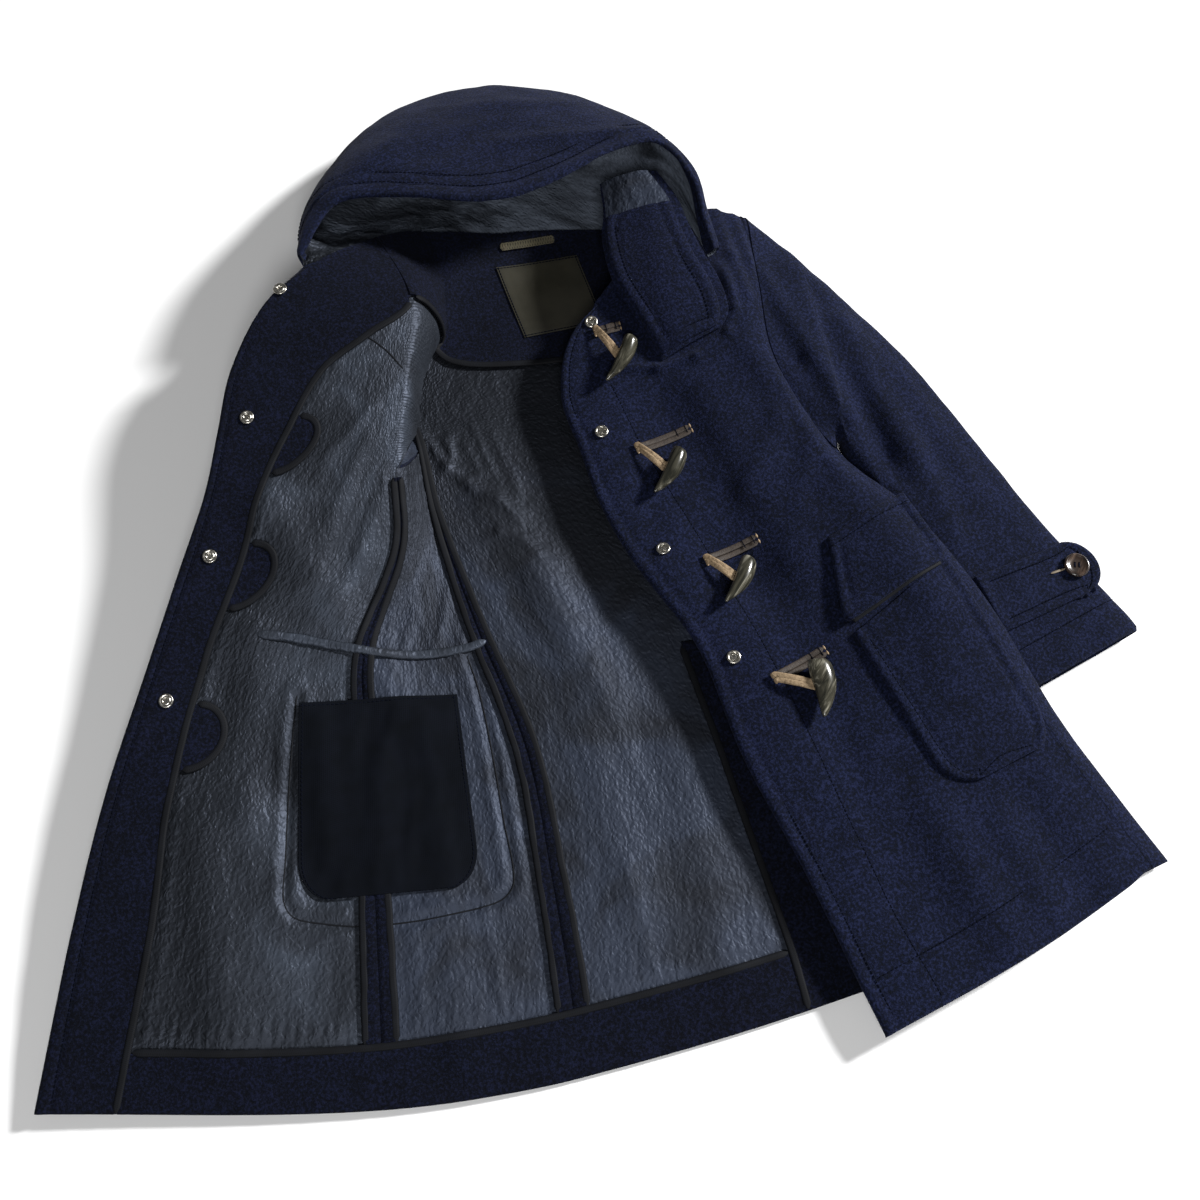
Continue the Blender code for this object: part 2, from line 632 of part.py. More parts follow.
navy = material("navy melton", (0.013, 0.016, 0.042), 0.92)
navy_deep = material("navy melton inside", (0.010, 0.012, 0.033), 0.92)
film = material("charcoal lining film", (0.022, 0.025, 0.030), 0.45)
cotton = material("navy cotton", (0.008, 0.009, 0.018), 0.8)
satin = material("olive satin", (0.030, 0.027, 0.017), 0.5)
braid = material("brown braid", (0.065, 0.055, 0.040), 0.7)
horn = material("grey horn", (0.060, 0.058, 0.048), 0.25)
tan = material("tan leather", (0.34, 0.24, 0.14), 0.7)
brown = material("dark brown leather", (0.040, 0.032, 0.028), 0.55)
nickel = material("nickel", (0.62, 0.60, 0.56), 0.25, 1.0)
button_horn = material("brown horn", (0.10, 0.060, 0.032), 0.3)

ARM = 540.0
SHOULDER = 715.0
NECK = 790.0
lower = [0.0, HEM_DEPTH] + levels_between(HEM_DEPTH, ARM, 44.0)[1:]
upper = levels_between(ARM, NECK, 32.0)
whole = lower + upper[1:]


def front_r_end(level):
    if level < SHOULDER - 45.0:
        return ramp(level, ARM, ARM + 60.0, SIDE_R, CURL_R)
    return ramp(level, SHOULDER - 45.0, SHOULDER, CURL_R, SHOULDER_R)


def front_columns(level):
    """Girths across the right front: one column keeps to the ridge over the armhole."""
    share = ramp(level, ARM, ARM + 60.0, 0.0, 1.0)
    ridge = 240.0 + 14.0 * share
    end = front_r_end(level)
    return list(np.linspace(0.0, ridge, 8)) + list(np.linspace(ridge, end, 4))[1:]


def back_start(level):
    return ramp(level, SHOULDER - 15.0, SHOULDER, BACK_R, SHOULDER_R)


front_r = body_panel(whole, EDGE, front_r_end, 10, front_columns)
side_r = body_panel(lower, SIDE_R, BACK_R, 5)
back = body_panel(whole, back_start, BACK_L, 11)
side_l = body_panel(lower, BACK_L, SIDE_L, 8)
front_l = body_panel(whole, SIDE_L, EDGE_L, 11)

# Wool panels and the lining film of those that show their inside.
film_out = -(WOOL + SEAM_GAP)
for name, panel, sides in (("front_right", front_r, "b"), ("side_right", side_r, "ab"),
                           ("back", back, "ab")):
    gap = 3.0 * SEAM_GAP if name == "front_right" else SEAM_GAP
    panel = trimmed(panel, sides, gap)
    cloth(name, panel, 0.0, -WOOL, navy)
    cloth(name + "_lining", panel, film_out, film_out - LINING, film)
cloth("side_left", trimmed(side_l, "ab"), 0.0, -WOOL, navy)
cloth("front_left", trimmed(front_l, "a"), 0.0, -WOOL, navy)

# What lies on the opened inside: facing, turned-up hem, seam allowances, patches.
on_film = -(LINING_TOP + TRIM_LIFT)


def inside(girth, level):
    """Point and normal of the opened right side and back, on the panels' own faces."""
    if level <= ARM and SIDE_R < girth < BACK_R:
        return side_r.sample(girth, level)
    if girth <= front_r_end(level):
        return front_r.sample(girth, level)
    return back.sample(girth, level)


def facing_edge(level):
    table = np.array(FACING, float)
    return SIDE_R * float(np.interp(level, table[:, 0], table[:, 1]))


def strip(name, columns, outer, inner, look, sides=""):
    """A piece on the inside, from columns of (girth, level) pairs."""
    points = np.zeros((len(columns), len(columns[0]), 3))
    normals = np.zeros_like(points)
    for i, column in enumerate(columns):
        for j, (girth, level) in enumerate(column):
            points[i, j], normals[i, j] = inside(girth, level)
    return cloth(name, trimmed(Panel(points, normals), sides), outer, inner, look)


def facing_girths(level, count=8):
    """Girths across the facing: the panel's own lines, with the widest gaps halved."""
    edge = facing_edge(level)
    line = [g for g in front_columns(level) if g < edge - 3.0] + [edge]
    while len(line) < count:
        gaps = [b - a for a, b in zip(line, line[1:])]
        k = gaps.index(max(gaps))
        line.insert(k + 1, (line[k] + line[k + 1]) / 2.0)
    return line


facing_levels = sorted(whole + [704.0, 712.0, 720.0])
across = [facing_girths(level) for level in facing_levels]
facing = [[(across[j][k], level) for j, level in enumerate(facing_levels)] for k in range(8)]
strip("front_right_facing", facing, on_film - 0.3, on_film - 0.3 - TRIM, navy_deep)

hem = [facing_edge(0.0) + 1.0]
hem += [g for g in front_r.girths[:, 0] if g > hem[0] + 4.0]
hem += list(side_r.girths[1:, 0])
hem += [g for g in back.girths[1:, 0] if g < SPINE - 4.0] + [SPINE - 1.0]
turn_up = [[(g if level > 0.0 else g, level) for level in (0.0, HEM_DEPTH)] for g in hem]
turn_up[0] = [(facing_edge(level) + 1.0, level) for level in (0.0, HEM_DEPTH)]
strip("hem_turn_up", turn_up, on_film, on_film - TRIM, navy_deep)

above_hem = [HEM_DEPTH + 1.0] + lower[2:-1] + [ARM - 8.0]
for name, seam in (("seam_allowance_front", SIDE_R), ("seam_allowance_back", BACK_R)):
    columns = []
    for k in (-1.0, 0.0, 1.0):
        columns.append([(seam + k * (ALLOWANCE - 5.0 * level / ARM), level) for level in above_hem])
    strip(name, columns, on_film, on_film - TRIM, navy_deep)

vent_levels = [0.0, HEM_DEPTH] + [level for level in lower[2:] if level < VENT_TOP] + [VENT_TOP]
vent = [[(SPINE + VENT_WIDTH * k / 2.0, level) for level in vent_levels] for k in range(3)]
strip("vent_facing", vent, on_film, on_film - TRIM, navy_deep)

neck_table = np.array(NECK_FACING, float)
neck_girths = [257.0, 297.7, 341.3, 385.0, 420.0, 455.0, 490.0, 525.0, 560.0, 595.0, 630.0, 665.0, 700.0,
               720.0]
neck = []
for girth in neck_girths:
    low = float(np.interp(girth, neck_table[:, 0], neck_table[:, 1]))
    rows_up = [max(level, low + 3.0 * (k + 1)) for k, level in enumerate(upper[4:])]
    neck.append([(girth, level) for level in [low] + rows_up])
on_neck = on_film - 1.3
strip("neck_facing", neck, on_neck, on_neck - TRIM, navy_deep, "a")

for index, (level, half, reach) in enumerate(STAYS):
    columns = []
    for k in range(4):
        column = []
        for j in range(7):
            v = -1.0 + j / 3.0
            here = level + half * v
            width = reach * (0.15 + 0.85 * math.sqrt(max(0.0, 1.0 - v * v)))
            column.append((facing_edge(here) + 1.0 + width * k / 3.0, here))
        columns.append(column)
    strip("half_moon_%d" % (index + 1), columns, on_film - 0.4, on_film - 0.4 - PATCH, navy_deep)

opened = Panel(np.concatenate((front_r.points[:, :len(lower)], side_r.points[1:])),
               np.concatenate((front_r.normals[:, :len(lower)], side_r.normals[1:])))
on_seam = on_film - TRIM - 0.9
patch("pocket_backing", opened, COTTON, (6, 7), on_seam, on_seam - PATCH, cotton,
      rounding=(0.35, 0.35, 0.2))
on_facing = on_neck - TRIM - 0.7
patch("label", back, LABEL, (5, 5), on_facing, on_facing - 0.6, satin)
patch("hanger_loop", back, LOOP, (4, 1), on_facing, on_facing - 1.2, braid)

# Left front: patch pocket, its flap, toggles and snaps.
patch("pocket_left", front_l, POCKET, (8, 9), 1.1 + TRIM, 1.1, navy, bulge=1.5,
      rounding=(0.6, 0.4, 0.2))
patch("pocket_flap_left", front_l, FLAP_POCKET, (8, 6), 1.0 + TRIM, 1.0, navy, bulge=1.5,
      slope=2.6, rounding=(0.16, 0.16, 0.16))
for index, spots in enumerate(TOGGLES):
    toggle(index + 1, front_l, spots, horn, tan, brown)
for index, (x, y) in enumerate(SNAPS_L):
    point, normal = front_l.find(x, y)
    disc("snap_left_%d" % (index + 1), point, normal, 1.0, SNAP_RADIUS, SNAP_HEIGHT, nickel)
for index, (x, y) in enumerate(SNAPS_R):
    point, normal = front_r.find(x, y)
    lift = -(on_film - TRIM) + 0.9
    disc("snap_right_%d" % (index + 1), point, -normal, lift, SNAP_RADIUS, SNAP_HEIGHT, nickel)

# Left sleeve: its first ring is the body's armhole.
arm = len(lower) - 1
n_front = front_l.points.shape[1] - arm
n_back = n_front
n_side = side_l.points.shape[0] - 2
loop_points = np.concatenate((front_l.points[0, arm:], back.points[-1, arm:][::-1],
                              side_l.points[1:-1, -1]))
loop_normals = np.concatenate((front_l.normals[0, arm:], back.normals[-1, arm:][::-1],
                               side_l.normals[1:-1, -1]))
turns = [math.radians(172.0 - 166.0 * k / (n_front - 1)) for k in range(n_front)]
turns += [math.radians(-8.0 - 122.0 * k / (n_back - 1)) for k in range(n_back)]
turns += [math.radians(-138.0 - 42.0 * k / (n_side - 1)) for k in range(n_side)]
rest = tube(SLEEVE_L, turns, len(turns))
start = loop_points + np.array((1.2, 0.0, 0.0))
start[n_front + n_back:, 1] += 3.0
start[0] += np.array((2.0, 3.0, 0.0))
for i in range(1, n_front):
    for j in range(rest.shape[1]):
        x, y = rest[i, j, :2]
        rest[i, j, 2] += fold_lift(SLEEVE_FOLDS, x, y)
points = np.concatenate((start[:, None], rest), axis=1)
normals = ring_normals(points)
normals[:, 0] = loop_normals
sleeve_l = Panel(points, normals)
cloth("sleeve_left", sleeve_l, 0.0, -WOOL, navy, closed=True)
upper_side = Panel(points[:n_front, 1:], normals[:n_front, 1:])


def tab_height(x, y):
    """Height of the sleeve's top under the tab, kept level past the sleeve's side."""
    point = upper_side.find(min(x, TAB_ON), y)[0]
    return point[2] - 0.05 * max(0.0, x - TAB_ON)


a, b, c, d = (np.array(corner, float) for corner in CUFF_TAB)
tab = np.zeros((10, 6, 3))
for i in range(10):
    u = i / 9.0
    for j in range(6):
        v = j / 5.0
        x, y = (a * (1 - u) + b * u) * (1 - v) + (d * (1 - u) + c * u) * v
        x -= TAB_ROUND * u ** 5 * (1.0 - math.sqrt(max(0.0, 1.0 - (2.0 * v - 1.0) ** 2)))
        tab[i, j] = (x, y, tab_height(x, y))
tab_panel = Panel(tab)
if tab_panel.normals[:, :, 2].mean() < 0.0:
    tab_panel.normals = -tab_panel.normals
cloth("cuff_tab_left", tab_panel, 0.8 + TRIM, 0.8, navy)
point = np.array((*BUTTON, tab_height(*BUTTON)))
disc("cuff_button_left", point, np.array((0.0, 0.0, 1.0)), 0.8 + TRIM + 0.9, BUTTON_RADIUS,
     BUTTON_HEIGHT, button_horn, 24)

# Right sleeve, under the opened front.
turns_r = [2.0 * math.pi * k / 16.0 for k in range(16)]
points = tube(SLEEVE_R, turns_r, 16)
cloth("sleeve_right", Panel(points, ring_normals(points)), 0.0, -WOOL, navy, closed=True)

# Hood: a pouch from the neck round the floor and over to its brim.
stations = np.array(HOOD, float)
neck_row = [0.0, 130.0, 250.0, 405.0, 490.0, 590.0, 622.0, 650.0, 700.0]
seam_nodes = [(front_r, i) for i in range(front_r.points.shape[0])]
seam_nodes += [(back, i) for i in range(1, 9)]
wheres = [float(np.interp(panel.girths[i, -1], neck_row, range(9))) for panel, i in seam_nodes]
wheres += [8.0, 8.5, 9.0, 9.6, 10.2, 11.0, 12.0]
path = 11
fine = np.zeros((len(wheres), path + 1, 3))
hood_line = np.arange(len(HOOD))
for i, where in enumerate(wheres):
    five = np.array([smooth(hood_line, stations[:, k], where) for k in range(5)])
    if i < len(seam_nodes):
        panel, k = seam_nodes[i]
        five[0] = panel.points[k, -1] + np.array((0.0, SEAM_GAP + 0.5 * max(0, 3 - i), 0.0))
    for j in range(path + 1):
        fine[i, j] = smooth(np.arange(5), five, 4.0 * j / path)
        fine[i, j, 2] = max(fine[i, j, 2], 0.0)
hood_normals = grid_normals(fine)
hood_normals[fine[:, :, 2] < 0.01] = (0.0, 0.0, -1.0)
for i, (panel, k) in enumerate(seam_nodes):
    hood_normals[i, 0] = panel.normals[k, -1]
hood = Panel(fine, hood_normals)
cloth("hood", hood, 0.0, -WOOL, navy)
cloth("hood_lining", hood, film_out, film_out - LINING, film)

# The hood's front corner on the chest: outer layer below, facing above.
flap_table = np.array(FLAP, float)
flap_points = np.zeros((6, 9, 3))
for j in range(9):
    where = (len(FLAP) - 1) * j / 8.0
    left = smooth(np.arange(len(FLAP)), flap_table[:, 0], where)
    right = smooth(np.arange(len(FLAP)), flap_table[:, 1], where)
    for i in range(6):
        u = i / 5.0
        flap_points[i, j] = left + (right - left) * u
        flap_points[i, j, 2] += 3.0 * math.sin(math.pi * u)
flap_panel = Panel(flap_points)
if flap_panel.normals[:, :, 2].mean() < 0.0:
    flap_panel.normals = -flap_panel.normals
cloth("hood_corner", flap_panel, WOOL, 0.0, navy)
corner = (FLAP_INSET, FLAP_INSET)
raised = flap_points.copy()
for j in range(9):
    line = flap_points[-1, j] - flap_points[0, j]
    for i in range(6):
        raised[i, j] = flap_points[0, j] + line * ((1.0 - FLAP_INSET / np.linalg.norm(line)) * i / 5.0)
        raised[i, j, 2] = flap_points[0, j, 2] + line[2] * i / 5.0 + 3.0 * math.sin(math.pi * i / 5.0)
raised[:, 0] += (raised[:, 1] - raised[:, 0]) * 0.45
top_panel = Panel(raised, flap_panel.normals)
cloth("hood_corner_facing", top_panel, 2.5 + TRIM, 2.5, navy_deep)
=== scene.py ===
"""Dresses the duffle coat that lies on its back: wool, crinkled lining, bound edges, stitching,
toggles, snaps and a button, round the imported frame.

Tables are in millimetres on their own axes, and place() turns them to metres about the part's
origin. Girth runs round the coat from the right front edge and level up from the hem.
"""
import math

import bpy
import numpy as np
from bpy.props import FloatProperty, FloatVectorProperty, PointerProperty
from mathutils import Matrix, Vector
from mathutils.bvhtree import BVHTree


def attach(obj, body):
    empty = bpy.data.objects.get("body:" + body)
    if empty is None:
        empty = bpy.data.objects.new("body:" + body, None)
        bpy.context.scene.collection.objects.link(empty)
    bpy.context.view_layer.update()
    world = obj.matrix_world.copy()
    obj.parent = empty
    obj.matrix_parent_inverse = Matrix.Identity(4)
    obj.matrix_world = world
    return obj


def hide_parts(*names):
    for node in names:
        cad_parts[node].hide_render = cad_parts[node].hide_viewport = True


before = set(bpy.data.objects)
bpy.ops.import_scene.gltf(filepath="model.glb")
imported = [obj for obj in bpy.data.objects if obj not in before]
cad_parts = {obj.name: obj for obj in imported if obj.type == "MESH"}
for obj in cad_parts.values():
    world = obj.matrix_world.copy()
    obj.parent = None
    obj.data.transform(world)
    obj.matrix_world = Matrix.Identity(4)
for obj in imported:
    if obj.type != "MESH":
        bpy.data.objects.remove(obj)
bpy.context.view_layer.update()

bl_info = {
    "name": "Duffle coat",
    "version": (1, 0, 0),
    "blender": (4, 5, 0),
    "location": "3D View > Sidebar > Coat",
    "description": "Builds the cloth, trims and fastenings of a duffle coat that is laid flat",
    "category": "Add Mesh",
}

MM = 0.001
SHIFT = np.array((61.2, -60.8, 0.0))

# Lines that run up the coat, by girth from the right front edge along the hem.
EDGE, SIDE_R, CURL_R, BACK_R = 0.0, 254.0, 330.0, 412.0
SPINE, BACK_L, UNDER_L, FOLD_L = 590.0, 770.0, 900.0, 930.0
SIDE_L, CREST_L, CHEST_L, EDGE_L = 952.0, 985.0, 1090.0, 1215.0
SHOULDER_R = 385.0
GIRTH = np.array((EDGE, SIDE_R, CURL_R, BACK_R, SPINE, BACK_L, UNDER_L, FOLD_L, SIDE_L, CREST_L,
                  CHEST_L, EDGE_L))
ARM, SHOULDER, NECK = 540.0, 715.0, 790.0

# Sections across the coat, by level: x, y, z of the wool's outer face.
RIGHT = (
    # level, edge,           side seam,        curl,             back seam,        spine
    (0, (-556, -260, 8), (-303, -347, 2), (-230, -364, 1), (-152, -376, 0), (37, -389, 0)),
    (48, (-536, -219, 14), (-290, -301, 3), (-216, -316, 1), (-139, -327, 0), (42, -341, 0)),
    (150, (-494, -132, 24), (-265, -201, 7), (-194, -214, 2), (-121, -222, 0), (46, -239, 0)),
    (260, (-445, -39, 33), (-237, -93, 9), (-172, -103, 2), (-106, -108, 0), (50, -128, 0)),
    (370, (-389, 49, 43), (-212, 14, 14), (-158, 14, 5), (-112, 12, 1), (52, -18, 0)),
    (470, (-337, 128, 55), (-155, 97, 28), (-132, 112, 17), (-114, 126, 5), (52, 84, 0)),
    (540, (-300, 183, 64), (-136, 160, 50), (-120, 176, 28), (-108, 192, 8), (52, 155, 0)),
    (600, (-274, 234, 71), (-119, 198, 60), (-110, 203, 26), (-106, 226, 3), (52, 212, 0)),
    (660, (-248, 285, 79), (-99, 244, 68), (-90, 247, 30), (-94, 268, 2), (52, 268, 0)),
    (730, (-205, 334, 88), (-75, 306, 76), (-57, 308, 42), (-50, 314, 10), (52, 334, 0)),
    (790, (-157, 366, 89), (-84, 394, 56), (-54, 404, 40), (-22, 408, 22), (52, 395, 4)),
)
LEFT = (
    # level, back seam, under, fold, side seam, crest, chest, edge
    (0, (221, -392, 0), (330, -382, 0), (363, -379, 7), (345, -380, 15), (318, -388, 17),
     (210, -412, 20), (84, -429, 23)),
    (48, (221, -346, 0), (322, -337, 0), (352, -333, 8), (334, -332, 17), (306, -338, 20),
     (204, -364, 24), (80, -383, 25)),
    (150, (220, -250, 0), (305, -240, 13), (327, -238, 22), (309, -236, 34), (282, -238, 37),
     (192, -266, 31), (73, -287, 27)),
    (260, (219, -148, 0), (285, -132, 28), (310, -128, 38), (293, -128, 47), (266, -132, 50),
     (180, -158, 38), (61, -183, 29)),
    (370, (220, -50, 0), (262, -32, 26), (285, -28, 38), (272, -28, 49), (248, -36, 53),
     (170, -60, 40), (60, -80, 30)),
    (470, (221, 22, 0), (245, 20, 16), (259, 24, 30), (250, 26, 42), (232, 24, 51),
     (150, 26, 40), (36, 12, 30)),
    (540, (226, 66, 0), (244, 58, 8), (252, 58, 18), (243, 60, 30), (222, 66, 49),
     (130, 78, 38), (27, 78, 30)),
    (600, (224, 122, 0), (230, 118, 8), (236, 116, 20), (231, 116, 37), (216, 116, 50),
     (122, 132, 38), (28, 135, 30)),
    (660, (222, 178, 0), (226, 174, 10), (231, 170, 26), (228, 170, 43), (213, 174, 52),
     (120, 186, 40), (30, 192, 32)),
    (730, (238, 246, 0), (244, 243, 14), (248, 238, 30), (243, 236, 45), (217, 240, 54),
     (136, 238, 44), (58, 246, 38)),
    (790, (254, 322, 12), (263, 321, 19), (268, 318, 26), (263, 317, 34), (222, 337, 42),
     (172, 328, 46), (108, 275, 44)),
)
LEVELS = np.array([row[0] for row in RIGHT], float)
BODY = np.array([list(right[1:]) + list(left[1:]) for right, left in zip(RIGHT, LEFT)], float)

# Soft folds: a ridge line, its height and half width.
FOLDS = (
    # x0, y0, x1, y1, height, width
    (-250, 150, -190, -60, 5.0, 22.0),
    (-330, 20, -300, -170, -4.0, 26.0),
    (-60, 120, -20, -90, 4.0, 20.0),
    (-40, 40, -60, -260, 3.5, 24.0),
    (20, -150, -10, -330, 3.0, 22.0),
    (-380, -90, -400, -250, 4.0, 24.0),
    (-200, -150, -230, -330, 2.5, 18.0),
)
TOP_FOLDS = (
    (150, 150, 170, -40, 3.0, 24.0),
    (110, -60, 130, -300, 3.5, 26.0),
    (190, -280, 210, -400, 4.0, 24.0),
    (270, -290, 290, -390, -3.0, 18.0),
    (90, 120, 60, 20, -2.5, 16.0),
    (225, 250, 195, 215, 3.0, 9.0),
    (226, 240, 212, 90, 4.0, 14.0),
)
# Sharper creases that the wool and the film take by themselves.
WOOL_CREASES = (
    (236, 330, 229, 272, 3.4, 5.5),
    (229, 272, 226, 225, 3.0, 6.0),
    (250, 320, 246, 262, 3.0, 5.5),
    (246, 262, 250, 205, 2.4, 7.0),
    (214, 262, 213, 225, 2.4, 6.0),
    (95, 196, 122, 184, 2.6, 4.5),
    (122, 184, 159, 181, 2.8, 4.5),
    (159, 181, 194, 193, 2.8, 4.5),
    (194, 193, 209, 213, 2.6, 4.5),
    (209, 213, 215, 252, 2.4, 4.5),
    (55, 150, 62, 0, 2.0, 26.0),
    (62, 0, 95, -210, 2.0, 26.0),
    (118, 140, 130, -40, -6.0, 28.0),
    (130, -40, 152, -330, -5.0, 30.0),
    (205, 175, 228, 90, 3.0, 14.0),
    (232, 60, 262, -110, 3.0, 20.0),
    (205, 95, 150, 40, 2.0, 10.0),
    (228, 70, 190, 10, 1.8, 9.0),
    (200, 15, 120, -25, -1.4, 11.0),
    (165, -180, 150, -330, 1.6, 14.0),
    (240, -300, 250, -395, 1.6, 12.0),
    (95, 60, 120, -60, -1.2, 12.0),
)
FILM_CREASES = (
    (-105, 220, -91, 168, 3.0, 5.0),
    (-91, 168, -74, 140, 3.2, 5.0),
    (-74, 140, -40, 102, 2.6, 5.5),
    (-85, 198, -81, 180, 2.4, 3.5),
    (-78, 149, -60, 153, 2.2, 4.0),
    (-57, 124, -44, 91, 2.2, 4.0),
    (-77, 200, -87, 169, 2.2, 3.2),
    (-67, 185, -63, 160, 2.2, 3.2),
    (-78, 87, -65, 90, 2.0, 4.0),
    (-65, 90, -47, 76, 2.0, 4.0),
    (-47, 76, -39, 56, 2.0, 4.0),
    (-55, 205, -52, 150, 1.8, 4.0),
    (-40, 190, -36, 120, 1.6, 4.5),
    (-300, 60, -338, -90, 3.5, 20.0),
    (-338, -90, -352, -215, 3.0, 20.0),
    (-145, 150, -190, 100, 2.6, 7.0),
    (-150, 190, -215, 120, 2.6, 9.0),
    (-150, 175, -235, 60, -1.6, 8.0),
    (-140, 215, -190, 185, 2.2, 6.0),
    (-185, 95, -250, 50, 2.0, 8.0),
    (-120, 60, -150, 5, 2.0, 5.0),
    (-104, 40, -120, 0, 2.2, 4.0),
    (-160, 40, -180, 8, 1.8, 4.0),
    (-30, -60, -20, -200, 1.6, 8.0),
    (60, -200, 80, -320, 1.6, 10.0),
    (120, -120, 150, -250, 1.6, 9.0),
    (-60, -230, -70, -330, 1.4, 7.0),
    (-180, -225, -190, -300, 1.8, 5.0),
    (-240, -225, -250, -290, 1.6, 5.0),
)
FACING = ((0, 0.235), (48, 0.242), (150, 0.262), (260, 0.245), (370, 0.25), (470, 0.255),
          (540, 0.275), (600, 0.34), (660, 0.45), (700, 0.68), (730, 0.99), (790, 0.99))
NECK_FACING = ((254, 731), (319, 728), (385, 724), (420, 712), (455, 694), (490, 668), (530, 648),
               (570, 636), (610, 631), (660, 632), (720, 636))
HOOD = (
    # neck,            floor,           crown,           roof,            brim
    ((-157, 366, 89), (-158, 372, 88), (-159, 376, 92), (-158, 375, 97), (-156, 371, 100)),
    ((-118, 388, 72), (-124, 416, 46), (-142, 446, 52), (-133, 430, 92), (-117, 411, 102)),
    ((-82, 399, 52), (-88, 446, 24), (-95, 503, 46), (-90, 462, 94), (-80, 409, 106)),
    ((-33, 412, 26), (-36, 474, 3), (-38, 542, 42), (-36, 476, 94), (-32, 388, 109)),
    ((10, 404, 12), (14, 478, 0), (18, 555, 40), (14, 474, 92), (10, 369, 109)),
    ((50, 401, 6), (62, 474, 0), (80, 546, 40), (64, 472, 90), (48, 362, 109)),
    ((88, 398, 8), (104, 462, 2), (130, 521, 42), (112, 457, 90), (88, 366, 109)),
    ((120, 394, 10), (136, 440, 8), (167, 487, 46), (146, 440, 90), (128, 379, 107)),
    ((167, 358, 24), (182, 396, 22), (198, 438, 56), (183, 417, 90), (168, 387, 102)),
    ((187, 346, 42), (197, 378, 49), (212, 400, 65), (208, 393, 84), (199, 386, 92)),
    ((196, 339, 50), (210, 350, 53), (222, 357, 66), (222, 352, 77), (216, 348, 85)),
    ((203, 306, 54), (212, 309, 55), (219, 311, 62), (218, 310, 70), (213, 308, 75)),
    ((204, 270, 58), (211, 272, 58), (216, 274, 62), (215, 273, 67), (210, 271, 70)),
)
FLAP = (
    # left,           right
    ((129, 189, 42.4), (190, 199, 52.6)),
    ((124, 204, 44.5), (202, 213, 57)),
    ((118, 240, 51), (204, 243, 62)),
    ((112, 281, 54), (199, 275, 66)),
    ((118, 325, 54), (198, 312, 67)),
    ((129, 352, 56), (198, 338, 68)),
    ((137, 384, 58), (190, 372, 70)),
)
SLEEVE_L = (
    # outer side,  inner side,   depth
    ((288, 279), (257, 67), 42),
    ((305, 240), (259, 46), 36),
    ((336, 172), (270, 10), 31),
    ((356, 118), (276, -30), 28),
    ((371, 58), (280, -72), 25),
    ((387, -15), (286, -118), 23),
    ((405, -90), (292, -160), 22),
    ((422, -146), (296, -190), 21),
    ((434, -189), (300, -212), 20),
)
SLEEVE_FOLDS = (
    (262, 220, 276, 90, 4.0, 14.0),
    (300, 232, 330, 60, 3.5, 16.0),
    (276, 90, 300, 20, -2.5, 12.0),
)
SLEEVE_CREASES = (
    (305, 175, 310, 35, 3.6, 13.0),
    (310, 35, 316, -60, 3.0, 13.0),
    (287, 120, 293, 10, -3.4, 10.0),
    (250, 245, 262, 150, 2.6, 8.0),
    (262, 150, 274, 80, 2.6, 8.0),
    (238, 205, 250, 120, -1.8, 8.0),
    (300, 90, 330, -20, 1.6, 12.0),
    (345, 60, 360, -40, 1.4, 11.0),
)
SLEEVE_R = (
    ((-83.2, 306), (-117.2, 204), 22),
    ((-162, 300), (-152, 192), 24),
    ((-242, 250), (-182, 138), 25),
    ((-320, 150), (-222, 78), 21),
    ((-372, 60), (-268, -4), 17),
    ((-416, -28), (-314, -88), 14),
    ((-446, -104), (-350, -160), 12),
)
CUFF_TAB = ((314, -99), (423, -95), (426, -144), (317, -155))
TAB_ON, TAB_ROUND = 388.0, 22.0
BUTTON = (403, -120)
FLAP_POCKET = ((183, -109), (290, -82), (279, -12), (200, -30))
POCKET = ((212, -271), (313, -258), (290, -84), (188, -118))
COTTON = ((-322, -172), (-177, -208), (-147, -44), (-276, -12))
LABEL = ((22, 277), (100, 268), (100, 349), (20, 361))
LOOP = ((31, 377), (85, 369), (85, 378), (31, 386))
VENT_TOP, VENT_WIDTH = 325.0, 45.0
TOGGLES = (
    # sewn,         turn,       broad end,   tip,      half widths across and up
    ((104, 238), (82, 240), (109, 216), (73, 184), 6.8, 7.2),
    ((129, 118), (78, 115), (113, 97), (74, 63), 7.2, 7.4),
    ((145, -5), (97, -9), (131, -23), (96, -55), 7.2, 7.4),
    ((160, -122), (111, -131), (150, -129), (136, -179), 9.4, 7.0),
)
SNAPS_R = ((-183, 345), (-245, 238), (-310, 128), (-378, 20))
SNAPS_L = ((81, 252), (52, 142), (64, 14), (85, -101))
STAYS = ((582, 30.0, 38.0), (456, 30.0, 38.0), (308, 30.0, 40.0))
# The tuck in the film over the pocket, and the pocket's own seam pressed through the film.
TUCK = ((-293, 55), (-262, 42), (-220, 20), (-188, 6), (-152, -3), (-124, -6), (-108, -5))
POCKET_SEAM = ((-276, -5), (-291, -44), (-308, -91), (-323, -138), (-332, -168), (-328, -183),
               (-308, -195), (-280, -207), (-235, -218), (-199, -223), (-165, -224), (-151, -213),
               (-143, -161), (-134, -101), (-128, -47), (-128, -12))
YOKE = ((-164, 304), (-147, 299), (-127, 284), (-111, 264), (-101, 243))
# Where the left front's facing is stitched through.
FACING_STITCH = ((77, 185), (82, 122), (96, 32), (112, -82), (119, -167), (124, -273), (129, -350),
                 (138, -417))

COTTON_FOLDS = ((-262, -30, -290, -150, 1.8, 8.0), (-180, -50, -200, -180, 2.0, 9.0),
                (-220, -70, -246, -190, 2.2, 10.0))
